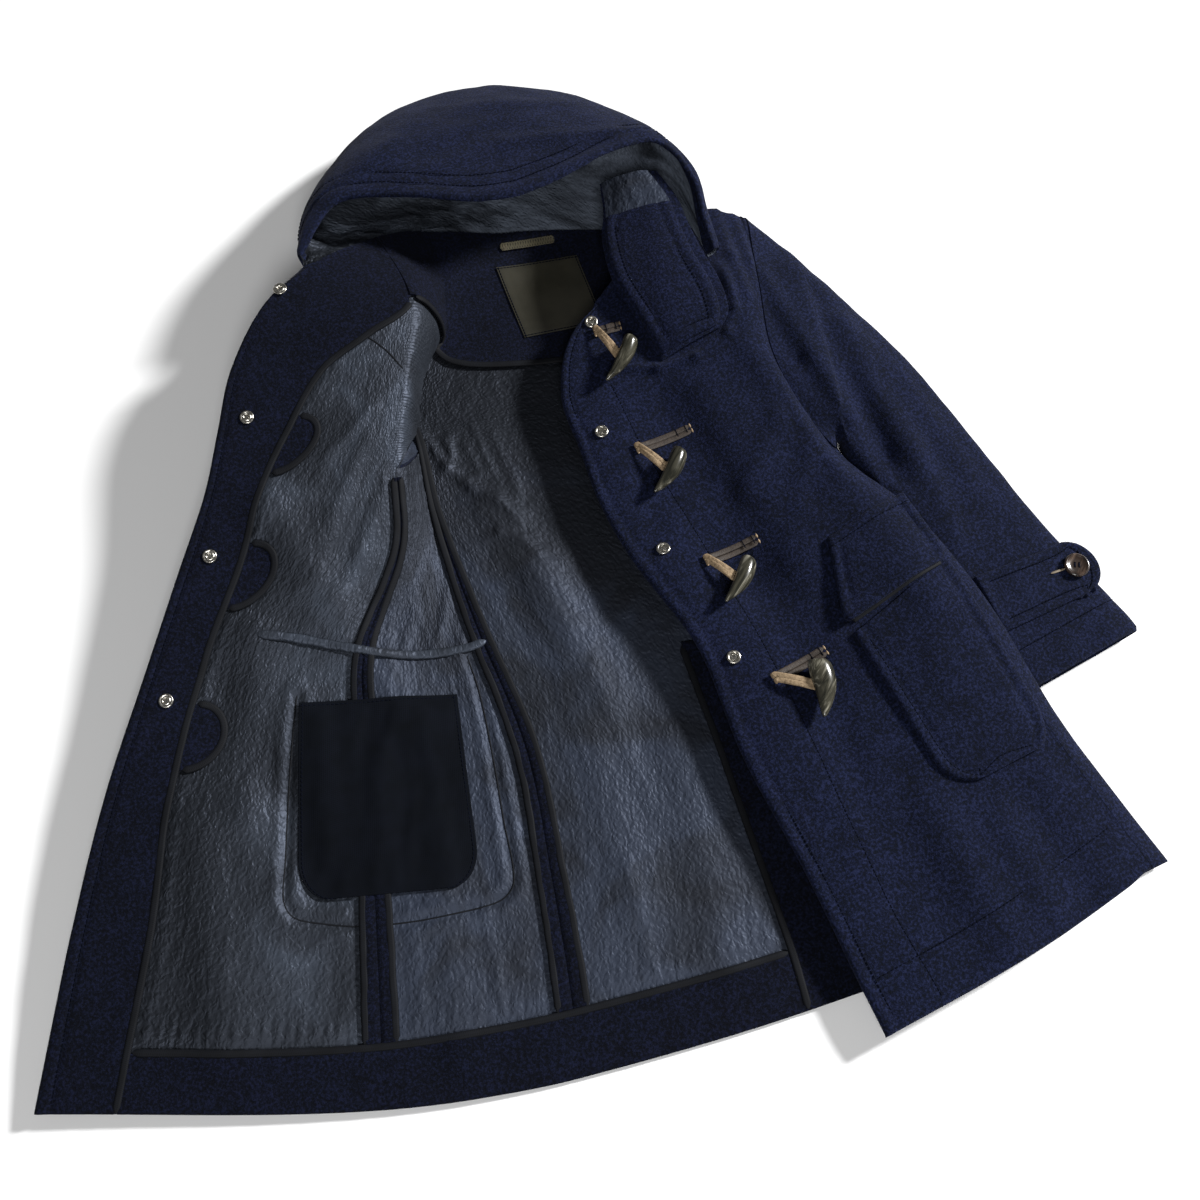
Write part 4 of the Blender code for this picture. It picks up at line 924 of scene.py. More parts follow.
def patch_places(corners, shares_u, shares_v, rounding=None):
    """Places in plan between four corners, its lower corners rounded off."""
    a, b, c, d = (np.array(corner, float) for corner in corners)
    u, v = np.meshgrid(shares_u, shares_v, indexing="ij")
    side = u
    if rounding is not None:
        left, right, reach = rounding
        turn = np.clip((reach - v) / reach, 0.0, 1.0)
        share = np.where(u < 0.5, left, right)
        side = 0.5 + (u - 0.5) * (1.0 - share * (1.0 - np.sqrt(1.0 - turn * turn)))
    side, v = side[..., None], v[..., None]
    return (a * (1 - side) + b * side) * (1 - v) + (d * (1 - side) + c * side) * v


def patch_grid(bed, corners, step, rounding=None, roll=2.0):
    """A grid of points on a bed between four corners, with its normals."""
    a, b, c, d = (np.array(corner, float) for corner in corners)
    width = (np.linalg.norm(b - a) + np.linalg.norm(c - d)) / 2.0
    length = (np.linalg.norm(d - a) + np.linalg.norm(c - b)) / 2.0
    shares_u = spaced(0.0, width, step, roll) / width
    shares_v = spaced(0.0, length, step, roll) / length
    places = patch_places(corners, shares_u, shares_v, rounding)
    return bed.rest(places[..., 0], places[..., 1])


def hood_grid(count):
    """The hood's outer face: round from the right neck, and from the neck over to the brim."""
    stations = np.array(HOOD, float)
    girths = np.concatenate((np.linspace(0.0, SIDE_R, 8), (297.7, 341.3, 385.0),
                             np.arange(420.0, 666.0, 35.0)))
    neck_row = (0.0, 130.0, 250.0, 405.0, 490.0, 590.0, 622.0, 650.0, 700.0)
    wheres = np.concatenate((np.interp(girths, neck_row, np.arange(9)),
                             (8.0, 8.5, 9.0, 9.6, 10.2, 11.0, 12.0)))
    five = smooth(np.arange(len(HOOD)), stations, wheres)
    neck = body(girths, NECK)
    neck[:, 1] -= 2.0
    five[:len(girths), 0] = neck
    points = smooth(np.arange(5), five.transpose(1, 0, 2), np.linspace(0.0, 4.0, 12))
    points = points.transpose(1, 0, 2)
    points[..., 2] = np.maximum(points[..., 2], 0.0)
    return refined(points, count)


def corner_grid(step, roll):
    """Points of the hood's turned-out corner, from its point upward."""
    table = np.array(FLAP, float)
    shares_u = spaced(0.0, 84.0, step, roll) / 84.0
    shares_v = spaced(0.0, 186.0, step, roll) / 186.0
    at = shares_v * (len(FLAP) - 1)
    left = smooth(np.arange(len(FLAP)), table[:, 0], at)
    right = smooth(np.arange(len(FLAP)), table[:, 1], at)
    u = shares_u[:, None, None]
    points = left[None] + (right - left)[None] * u
    points[..., 2] += 3.0 * np.sin(math.pi * shares_u)[:, None]
    return points, shares_u, shares_v


def armhole(upper, front, rear, back, side):
    """A ring up an armhole's front, down its rear and along under the arm."""
    under = back + (side - back) * np.arange(1, 8) / 8.0
    return np.concatenate((body(front, upper), body(rear, upper)[::-1], body(under, ARM)))


def sleeve_grid(count):
    """The left sleeve round and along, from the armhole to the cuff."""
    upper = ARM + (NECK - ARM) * np.arange(9) / 8.0
    first = armhole(upper, SIDE_L, BACK_L, BACK_L, SIDE_L) + np.array((1.2, 0.0, 0.0))
    first[18:, 1] += 3.0
    first[0] += np.array((2.0, 3.0, 0.0))
    rest = tube_grid(SLEEVE_L, SLEEVE_TURNS)
    rest[1:9, :, 2] += fold_lift(SLEEVE_FOLDS, rest[1:9, :, 0], rest[1:9, :, 1])
    return refined(np.concatenate((first[:, None], rest), axis=1), count, closed=True)


def tube_grid(sides, turns):
    """Rings of a flattened tube that lies on its bed, from its two side lines."""
    width = np.sign(np.cos(turns)) * np.abs(np.cos(turns)) ** 0.62
    shape = np.sign(np.sin(turns)) * np.abs(np.sin(turns)) ** 0.8
    rings = []
    for outer_side, inner_side, depth in sides:
        outer_side, inner_side = np.array(outer_side, float), np.array(inner_side, float)
        middle, half = (outer_side + inner_side) / 2.0, (outer_side - inner_side) / 2.0
        spot = middle[None] + half[None] * width[:, None]
        rings.append(np.concatenate((spot, (depth / 2.0 * (1.0 + shape))[:, None]), axis=1))
    return np.stack(rings, axis=1)


def round_normals(points):
    """Outward normals of a closed tube."""
    around = np.roll(points, -1, axis=0) - np.roll(points, 1, axis=0)
    normals = unit(np.cross(around, np.gradient(points, axis=1)))
    middle = points.mean(axis=0, keepdims=True)
    if ((points - middle) * normals).sum() < 0.0:
        normals = -normals
    normals[points[..., 2] < 0.05] = DOWN
    return normals


# --- Materials -------------------------------------------------------------------------------


def colour(text):
    """An sRGB hex value as a linear colour."""
    values = [int(text[k:k + 2], 16) / 255.0 for k in (1, 3, 5)]
    return tuple(v / 12.92 if v <= 0.04045 else ((v + 0.055) / 1.055) ** 2.4 for v in values)


def fill(tree, socket, value):
    """Gives a socket a value, or a link from another node's socket."""
    if isinstance(value, bpy.types.NodeSocket):
        tree.links.new(value, socket)
    else:
        socket.default_value = value


def node(tree, kind, *values, **named):
    """Adds a node: values fill its first sockets, capitalised names fill sockets, others set."""
    made = tree.nodes.new("ShaderNode" + kind)
    sockets = dict(enumerate(values))
    for name, value in named.items():
        if name[0].islower():
            setattr(made, name, value)
        else:
            sockets[name.replace("_", " ")] = value
    for socket, value in sockets.items():
        fill(tree, made.inputs[socket], value)
    return made


class Finish:
    """A material in the making: most methods add a node and give the socket that it makes."""

    def __init__(self, name, roughness, **constants):
        self.material = bpy.data.materials.new(name)
        self.material.use_nodes = True
        self.tree = self.material.node_tree
        self.set(Roughness=roughness, **constants)

    def set(self, **named):
        """Sets or links the shader's own sockets."""
        shader = self.tree.nodes["Principled BSDF"]
        for name, value in named.items():
            fill(self.tree, shader.inputs[name.replace("_", " ")], value)

    def at(self, space):
        return node(self.tree, "TexCoord").outputs[space]

    def noise(self, at, scale, detail, output="Fac", **named):
        made = node(self.tree, "TexNoise", Vector=at, Scale=scale, Detail=detail, **named)
        return made.outputs[output]

    def moved(self, at, **named):
        return node(self.tree, "Mapping", Vector=at, **named).outputs[0]

    def sum(self, operation, *values, kind="Math"):
        return node(self.tree, kind, *values, operation=operation).outputs[0]

    def ranged(self, value, low=0.0, high=1.0, **named):
        made = node(self.tree, "MapRange", Value=value, From_Min=low, From_Max=high, **named)
        return made.outputs[0]

    def bump(self, height, strength, distance, **named):
        made = node(self.tree, "Bump", Height=height, Strength=strength, Distance=distance, **named)
        return made.outputs[0]

    def shade(self, factor, *stops):
        """Colours the material by a factor, from (position, hex) stops."""
        ramp = node(self.tree, "ValToRGB", factor)
        elements = ramp.color_ramp.elements
        while len(elements) < len(stops):
            elements.new(0.5)
        for element, (position, text) in zip(elements, stops):
            element.position = position
            element.color = (*colour(text), 1.0)
        self.set(Base_Color=ramp.outputs["Color"])


def melton(name, dark, middle, light, sheen):
    """Wool melton: milled and brushed, so the weave is lost under a short matted nap."""
    made = Finish(name, 0.96, Sheen_Weight=sheen, Sheen_Roughness=0.55,
                  Sheen_Tint=(*colour("#8d95b8"), 1.0), Specular_IOR_Level=0.1)
    at = made.at("Object")
    # Nap clumps are about 0.8 mm on real melton, drawn 1.8 mm wide so that they show.
    nap = made.noise(at, 430.0, 4.0, Roughness=0.7)
    # Brushing leaves broad soft streaks, 25 mm and more across.
    cloud = made.noise(at, 34.0, 4.0, Roughness=0.6, Distortion=0.6)
    both = made.sum("MULTIPLY_ADD", nap, 0.86, made.sum("MULTIPLY", cloud, 0.14))
    made.shade(both, (0.41, dark), (0.5, middle), (0.61, light))
    made.set(Normal=made.bump(cloud, 0.35, 0.0012, Normal=made.bump(nap, 0.8, 0.0011)))
    return made.material


def bonded_film(name, dark, middle, light, ribs=False, relief=1.0, gloss=0.0):
    """Polyurethane film bonded to a knit and crinkled: leathery, with a soft broken gloss."""
    made = Finish(name, 0.5, Specular_IOR_Level=0.38, Specular_Tint=(*colour("#d5e2ff"), 1.0))
    cut = made.at("UV")
    parts = node(made.tree, "SeparateXYZ", Vector=cut).outputs
    wander = made.noise(cut, 120.0, 2.0, "Color")
    aside = made.sum("MULTIPLY", wander, (0.007, 0.007, 0.0), kind="VectorMath")
    drawn = made.moved(made.sum("ADD", cut, aside, kind="VectorMath"), Scale=(1.0, 0.75, 1.0))
    # Pebbles of the crinkle are about 4 mm, with wrinkles half as wide between them.
    pebble = node(made.tree, "TexVoronoi", Vector=drawn, Scale=330.0, Smoothness=0.6,
                  feature="SMOOTH_F1").outputs["Distance"]
    wrinkle = made.noise(drawn, 420.0, 3.0, Roughness=0.55)
    tone = made.noise(cut, 13.0, 3.0, Distortion=0.8)
    if ribs:
        # Darker beside the facing low down, and lighter again toward the shoulder.
        inward = made.ranged(parts["X"], 0.10, 0.17, To_Min=0.45)
        upward = made.ranged(parts["Y"], 0.42, 0.52)
        darkening = made.sum("MAXIMUM", inward, upward)
    else:
        # Painted shade: darker where the film meets the shell, and darker high on the back and the
        # side, which lie in shade under the neck and between the seams.
        inward = made.ranged(parts["X"], 0.01, 0.06, To_Min=0.3)
        upward = made.ranged(parts["Y"], 0.34, 0.52, To_Min=1.15, To_Max=0.5)
        darkening = made.sum("MULTIPLY", inward, upward)
    made.shade(made.sum("MULTIPLY", tone, darkening), (0.2, "#0a0b0c"), (0.36, dark), (0.5, middle),
               (0.66, light))
    low = made.bump(pebble, 0.6 * relief, -0.0013)
    face = made.bump(wrinkle, 0.45 * relief, 0.0007, Normal=low)
    if ribs:
        face = fold_ribs(made, parts, face)
    made.set(Normal=face, Roughness=made.ranged(tone, 0.35, 0.65, To_Min=0.66 - gloss,
                                                To_Max=0.54 - gloss))
    return made.material


def fold_ribs(made, parts, before):
    """Fine ribs, 3.3 mm apart, where the film is pushed together along the armhole's fold."""
    wave = made.sum("SINE", made.sum("MULTIPLY", parts["Y"], 1900.0))
    away = made.sum("ABSOLUTE", made.sum("SUBTRACT", parts["X"], 0.255))
    across = made.ranged(away, 0.010, 0.026, To_Min=1.0, To_Max=0.0,
                         interpolation_type="SMOOTHSTEP")
    upward = made.ranged(parts["Y"], 0.50, 0.58, interpolation_type="SMOOTHSTEP")
    height = made.sum("MULTIPLY", wave, made.sum("MULTIPLY", across, upward))
    return made.bump(height, 0.3, 0.0004, Normal=before)


def woven(name, dark, light, roughness, thread, relief, specular=0.3, diagonal=False):
    """Plain or twill weave: threads cross at a spacing in millimetres along the cut."""
    made = Finish(name, roughness, Specular_IOR_Level=specular)
    turn = math.radians(45.0) if diagonal else 0.0
    laid_out = made.moved(made.at("UV"), Rotation=(0.0, 0.0, turn))
    scale = math.pi / (thread * MM * 10.0) / 2.0
    threads = [node(made.tree, "TexWave", Vector=laid_out, Scale=scale, Distortion=0.6, Detail=1.0,
                    bands_direction=direction).outputs["Fac"] for direction in "XY"]
    weave = made.sum("MAXIMUM", *threads)
    wear = made.noise(made.at("Object"), 55.0, 4.0)
    made.shade(made.sum("MULTIPLY", weave, wear), (0.15, dark), (0.6, light))
    made.set(Normal=made.bump(weave, 0.6, relief * MM))
    return made.material


def polished_horn(name, dark, middle, light, streak_scale):
    """Cattle horn: cut and polished, layered in pale and dark streaks along its length."""
    made = Finish(name, 0.2, Coat_Weight=0.35, Coat_Roughness=0.12, Specular_IOR_Level=0.5)
    along = made.moved(made.at("Object"), Rotation=(0.0, 0.0, math.radians(-42.0)))
    streak = made.noise(made.moved(along, Scale=(0.16, 1.0, 1.0)), streak_scale, 5.0,
                        Roughness=0.62, Distortion=1.2)
    made.shade(streak, (0.36, dark), (0.52, middle), (0.72, light))
    made.set(Roughness=made.ranged(streak, To_Min=0.14, To_Max=0.32),
             Normal=made.bump(streak, 0.18, 0.0003))
    return made.material


def cut_leather(name, dark, light, roughness):
    """Cowhide lace: cut from the hide, so it shows fibres and pores 0.7 mm apart."""
    made = Finish(name, roughness, Specular_IOR_Level=0.35)
    at = made.at("Object")
    fibre = made.noise(at, 420.0, 5.0, Roughness=0.7)
    pore = node(made.tree, "TexVoronoi", Vector=at, Scale=1400.0).outputs["Distance"]
    made.shade(fibre, (0.3, dark), (0.7, light))
    made.set(Normal=made.bump(fibre, 0.6, 0.0004, Normal=made.bump(pore, 0.5, 0.0002)))
    return made.material


def plated_brass(name, light, worn):
    """Nickel plate on pressed brass: bright, dulled in soft spots by handling."""
    made = Finish(name, 0.24, Metallic=1.0)
    spots = made.noise(made.at("Object"), 700.0, 4.0)
    made.shade(spots, (0.35, worn), (0.6, light))
    made.set(Roughness=made.ranged(spots, To_Min=0.16, To_Max=0.4))
    return made.material


def paper_floor(name, text):
    """Matt paper sweep, pale and even with the slightest tooth."""
    made = Finish(name, 0.9, Specular_IOR_Level=0.1, Base_Color=(*colour(text), 1.0))
    made.set(Normal=made.bump(made.noise(made.at("Object"), 900.0, 2.0), 0.05, 0.0002))
    return made.material


FINISHES = {
    "wool": (melton, "navy wool melton", "#050811", "#090e20", "#181e38", 0.06),
    "inside": (melton, "navy melton facing", "#03040a", "#060914", "#0f1326", 0.02),
    "film": (bonded_film, "crinkled bonded film", "#111215", "#191c23", "#232833"),
    # The same film painted lighter and glossier inside the hood: painted light where the hood's
    # hollow lies in shade.
    "hood film painted lighter": (bonded_film, "bonded film of the hood, painted lighter and glossier", "#23262b", "#33373e", "#59606c",
                  False, 1.7, 0.1),
    # The same film with ribs at the fold, painted lighter for the right front: painted light.
    "ribbed": (bonded_film, "film ribbed at the fold, with painted light", "#141619", "#1e2126", "#2c3139", True, 0.95,
               0.06),
    "binding": (woven, "cotton twill bias binding", "#07080b", "#101217", 0.7, 0.5, 0.08, 0.12,
                True),
    "cotton": (woven, "cotton pocketing", "#030509", "#070a12", 0.9, 0.8, 0.12, 0.08),
    "satin": (woven, "woven satin", "#201f18", "#302e25", 0.42, 0.5, 0.06, 0.55),
    "braid": (woven, "herringbone braid", "#2a2820", "#57523f", 0.8, 0.9, 0.25, 0.3, True),
    "horn": (polished_horn, "polished dark horn", "#1a1a14", "#3d3b31", "#a39f90", 130.0),
    "button": (polished_horn, "polished brown horn", "#110c09", "#2b201a", "#5a4a3f", 120.0),
    "tan": (cut_leather, "raw leather lace", "#594834", "#a58f72", 0.8),
    "dark": (cut_leather, "dyed leather lace", "#221d1a", "#453c35", 0.6),
    "nickel": (plated_brass, "nickel plated brass", "#cfccc4", "#8e8a80"),
    "thread": (woven, "polyester thread", "#070a14", "#12172b", 0.9, 0.4, 0.05, 0.05),
    "buff thread": (woven, "buff thread", "#4d4438", "#8b7f6d", 0.65, 0.4, 0.05),
    "floor": (paper_floor, "white paper", "#f2f2f2"),
}
MADE = {}


def look(name):
    """The material of a finish, made when it is first asked for."""
    if name not in MADE:
        maker, *settings = FINISHES[name]
        MADE[name] = maker(*settings)
    return MADE[name]


# --- Pieces ----------------------------------------------------------------------------------


class CoatCloth(bpy.types.PropertyGroup):
    """Sizes of the cloth and its sewing."""

    crinkle: FloatProperty(name="Crinkle", description="Share of the film's full crinkle height",
                           default=1.0, min=0.0, max=1.5, subtype="FACTOR")
    seam_groove: FloatProperty(name="Stitch groove", unit="LENGTH", default=0.0009,
                               description="Depth that topstitching pulls into the wool")
    edge_stitch: FloatProperty(name="Edge stitch", unit="LENGTH", default=0.0125,
                               description="Distance of the topstitching from the front edge")
    binding_width: FloatProperty(name="Binding width", unit="LENGTH", default=0.0064,
                                 description="Width of the bias binding as it shows")
    stitch_pitch: FloatProperty(name="Stitch length", unit="LENGTH", default=0.0038,
                                description="Length from one stitch to the next")


class CoatStage(bpy.types.PropertyGroup):
    """Light and view."""

    key: FloatProperty(name="Key light", description="Power of the large soft light",
                       default=480.0, unit="POWER")
    fill: FloatProperty(name="Fill light", description="Power of the soft light from the hem side",
                        default=52.0, unit="POWER")
    sky: FloatProperty(name="Room light", description="Strength of the even light from all round",
                       default=0.12)
    lens: FloatProperty(name="Lens", description="Focal length on a 36 mm wide frame, in mm",
                        default=42.0)
    distance: FloatProperty(name="Camera distance", unit="LENGTH", default=1.25,
                            description="From the camera to the middle of the frame")
    tilt: FloatProperty(name="Camera tilt", subtype="ANGLE", default=math.radians(22.0),
                        description="Lean of the camera from straight down")
    turn: FloatProperty(name="Camera turn", subtype="ANGLE", default=math.radians(-19.6),
                        description="Turn of the camera about the vertical")
    key_direction: FloatVectorProperty(name="Key direction", default=(4.2, 0.5, 2.5),
                                       description="Place of the key light", subtype="XYZ")


class COAT_OT_stage(bpy.types.Operator):
    """Pale floor, soft light and the camera"""

    bl_idname = "coat.stage"
    bl_label = "Stage"

    def execute(self, context):
        sizes, scene = context.scene.coat_stage, context.scene
        floor = primitive("grid", x_subdivisions=8, y_subdivisions=8, size=9.0,
                          location=(0.0, 0.0, -FLOOR_GAP))
        floor.name = "floor"
        floor.data.materials.append(look("floor"))

        world = bpy.data.worlds.new("even room light")
        world.use_nodes = True
        background = world.node_tree.nodes["Background"]
        background.inputs["Color"].default_value = (1.0, 1.0, 1.0, 1.0)
        background.inputs["Strength"].default_value = sizes.sky
        scene.world = world

        for name, size, power, spot in (("soft key", 0.7, sizes.key, sizes.key_direction),
                                        ("soft fill", 1.0, sizes.fill, (-0.5, -2.0, 2.5))):
            light = bpy.data.lights.new(name, "AREA")
            light.shape = "DISK"
            light.size = size
            light.energy = power
            lamp = bpy.data.objects.new(name, light)
            lamp.location = spot
            lamp.rotation_euler = (-Vector(spot)).to_track_quat("-Z", "Y").to_euler()
            scene.collection.objects.link(lamp)

        camera = bpy.data.cameras.new("camera")
        camera.lens = sizes.lens
        camera.sensor_width = 36.0
        camera.clip_end = 50.0
        view = bpy.data.objects.new("camera", camera)
        back = Vector((math.sin(sizes.turn) * math.sin(sizes.tilt),
                       -math.cos(sizes.turn) * math.sin(sizes.tilt), math.cos(sizes.tilt)))
        right = Vector((math.cos(sizes.turn), math.sin(sizes.turn), 0.0))
        turn = Matrix((right, back.cross(right), back)).transposed().to_4x4()
        middle = Vector((SHIFT[0] * MM, SHIFT[1] * MM, 0.0))
        view.matrix_world = Matrix.Translation(middle + back * sizes.distance) @ turn
        scene.collection.objects.link(view)
        scene.camera = view
        scene.view_settings.view_transform = "Standard"
        return {"FINISHED"}


class COAT_OT_wool(bpy.types.Operator):
    """Wool panels of the body"""

    bl_idname = "coat.wool"
    bl_label = "Body panels"

    def execute(self, context):
        levels = spaced(0.0, NECK, 8.0)
        lower = spaced(0.0, ARM, 8.0)
        for name, start, end, heights in (
                ("front_right", EDGE, front_end(levels) - 0.3, levels),
                ("side_right", SIDE_R + 0.2, BACK_R - 0.2, lower),
                ("back", back_start(levels) + 0.2, BACK_L - 0.2, levels)):
            girth, level = girths_between(start, end, heights, 8.0)
            points, normals = lay(girth, level)
            drawn = rolled(from_edges(points, "c"), 1.0)
            if name == "front_right":
                drawn = drawn + rolled(from_edges(points, "a"), 1.0)
            piece = shell(name + "_wool", (points, normals), -drawn, drawn - WOOL, "wool", "wool",
                          name, cut=(girth, level))
            sheet(points)

        girth, level = girths_between(BACK_L + 0.2, SIDE_L - 0.2, lower, 5.0)
        points, normals = lay(girth, level)
        drawn = rolled(from_edges(points, "c"), 1.0)
        relief = np.clip(points[..., 2] / 20.0, 0.0, 1.0) * wool_relief(points, girth, level, 0.6)
        relief *= np.clip((SIDE_L - girth) / 10.0, 0.0, 1.0)
        piece = shell("side_left_wool", (points, normals), relief - drawn, relief + drawn - WOOL,
                      "wool", "wool", "side_left", cut=(girth, level))
        sheet(points)
        return {"FINISHED"}


class COAT_OT_left_front(bpy.types.Operator):
    """Left front, wool side up, with its topstitched edge and turned hem"""

    bl_idname = "coat.left_front"
    bl_label = "Left front"

    def execute(self, context):
        groove, inset = measure("seam_groove"), measure("edge_stitch")
        girth, level = girths_between(SIDE_L + 0.2, EDGE_L, spaced(0.0, NECK, 3.0), 3.0)
        points, normals = lay(girth, level)
        from_edge = EDGE_L - girth
        relief = wool_relief(points, girth, level)
        pinch = 0.5 + 0.5 * rumple(level / 9.0, girth / 40.0, 43)
        relief += 0.9 * hump(from_edge / inset) - 0.1
        relief -= groove * near(from_edge - inset, 2.1) * (0.8 + 0.4 * pinch)
        relief += 0.35 * pinch * near(from_edge - inset - 6.0, 5.0)
        relief -= 0.6 * groove * near(level - HEM_STITCH, 2.4) * (0.7 + 0.6 * pinch)
        relief += 0.5 * near(level - 22.0, 15.0)
        stitched_on = near(line_distance(points, FACING_STITCH), 2.3)
        relief -= 0.55 * groove * stitched_on * np.clip((700.0 - level) / 40.0, 0.0, 1.0)
        relief *= np.clip((girth - SIDE_L) / 8.0, 0.15, 1.0)
        drawn = rolled(from_edges(points, "b"), 2.6) + rolled(from_edges(points, "c"), 2.4)
        doubled = np.maximum(np.clip((64.0 - from_edge) / 4.0, 0.0, 1.0),
                             np.clip((HEM_TOP - level) / 4.0, 0.0, 1.0))
        inner = inner_face(relief, 0.5, 2.6 * doubled, drawn)
        piece = shell("front_left_wool", (points, normals), relief - drawn, inner, "wool", "wool",
                      "front_left", cut=(girth, level))
        LAID["front"] = Bed(points + normals * relief[..., None])

        at = np.arange(12.0, NECK - 20.0, 4.0)
        line, up = lay(EDGE_L - inset, at)
        rows = [(line - up * (0.3 * groove), up)]
        across = np.arange(SIDE_L + 12.0, EDGE_L - inset, 4.0)
        line, up = lay(across, HEM_STITCH)
        rows.append((line - up * 0.1, up))
        rows.append(LAID["front"].rest(*along_line(FACING_STITCH, 4.0).T))
        sheet(points, parts=[stitched("front_left_stitches", rows, "wool")])
        return {"FINISHED"}


class COAT_OT_film(bpy.types.Operator):
    """Crinkled film lining of the right front, the side and the back"""

    bl_idname = "coat.film"
    bl_label = "Film lining"

    def panel(self, name, start, end, levels, finish, step, amount):
        """A panel of crinkled film under its own wool panel; gives its face."""
        girth, level = girths_between(start, end, levels, step)
        points, normals = lay(girth, level)
        relief = film_relief(points, girth, level, amount)
        # Past the shoulder's ridge the panel widens, so the cut there follows its own length.
        length = run(points, 0)
        ridge = np.array([np.interp(SIDE_R, *pair) for pair in zip(girth.T, length.T)])
        across = np.where((girth > SIDE_R) & (start < SIDE_R), SIDE_R + length - ridge, girth)
        piece = shell(name + "_film", (points, normals), -(WOOL + SEAM_GAP), -(FILM + relief),
                      finish, "lining", name + "_lining", cut=(across, level))
        sheet(points)
        return points - normals * (FILM + relief)[..., None]

    def execute(self, context):
        levels = spaced(FILM_START, NECK - 2.0, 2.9)
        lower = spaced(FILM_START, ARM, 2.9)
        front = self.panel("front_right", facing_edge(levels) - 8.0, front_end(levels) - 0.6,
                           levels, "ribbed", 3.0, 0.45)
        # The side panel takes the darker film, not the right front's lighter copy: painted shade
        # where it lies deep between the seams.
        side = self.panel("side_right", SIDE_R + 0.3, BACK_R - 0.3, lower, "film", 3.0, 0.7)
        self.panel("back", back_start(levels) + 0.3, BACK_L - 0.4, levels, "film", 3.2, 0.5)
        # Two seams of the shell press grooves into the film; a dark band laid in each is painted
        # shade.
        bed, seams = Bed(front, side), []
        for line in (POCKET_SEAM, YOKE):
            points, normals = bed.rest(*along_line(line, 2.5).T)
            seams.append((points + normals * 0.15, normals))
        band("film_seam_painted_shade", seams, 1.3, 0.7, "binding", "lining", spots=6)
        faces = []
        for start, end, heights, step in (
                (EDGE, SIDE_R, spaced(0.0, NECK, 10.0), 10.0),
                (SIDE_R + 1.0, BACK_R, spaced(0.0, ARM, 10.0), 10.0),
                (back_start(levels), BACK_L, levels, 9.0)):
            points, normals = lay(*girths_between(start, end, heights, step))
            faces.append(points - normals * FILM)
        LAID["inside"] = Bed(*faces[:2])
        LAID["back"] = Bed(faces[2])
        return {"FINISHED"}


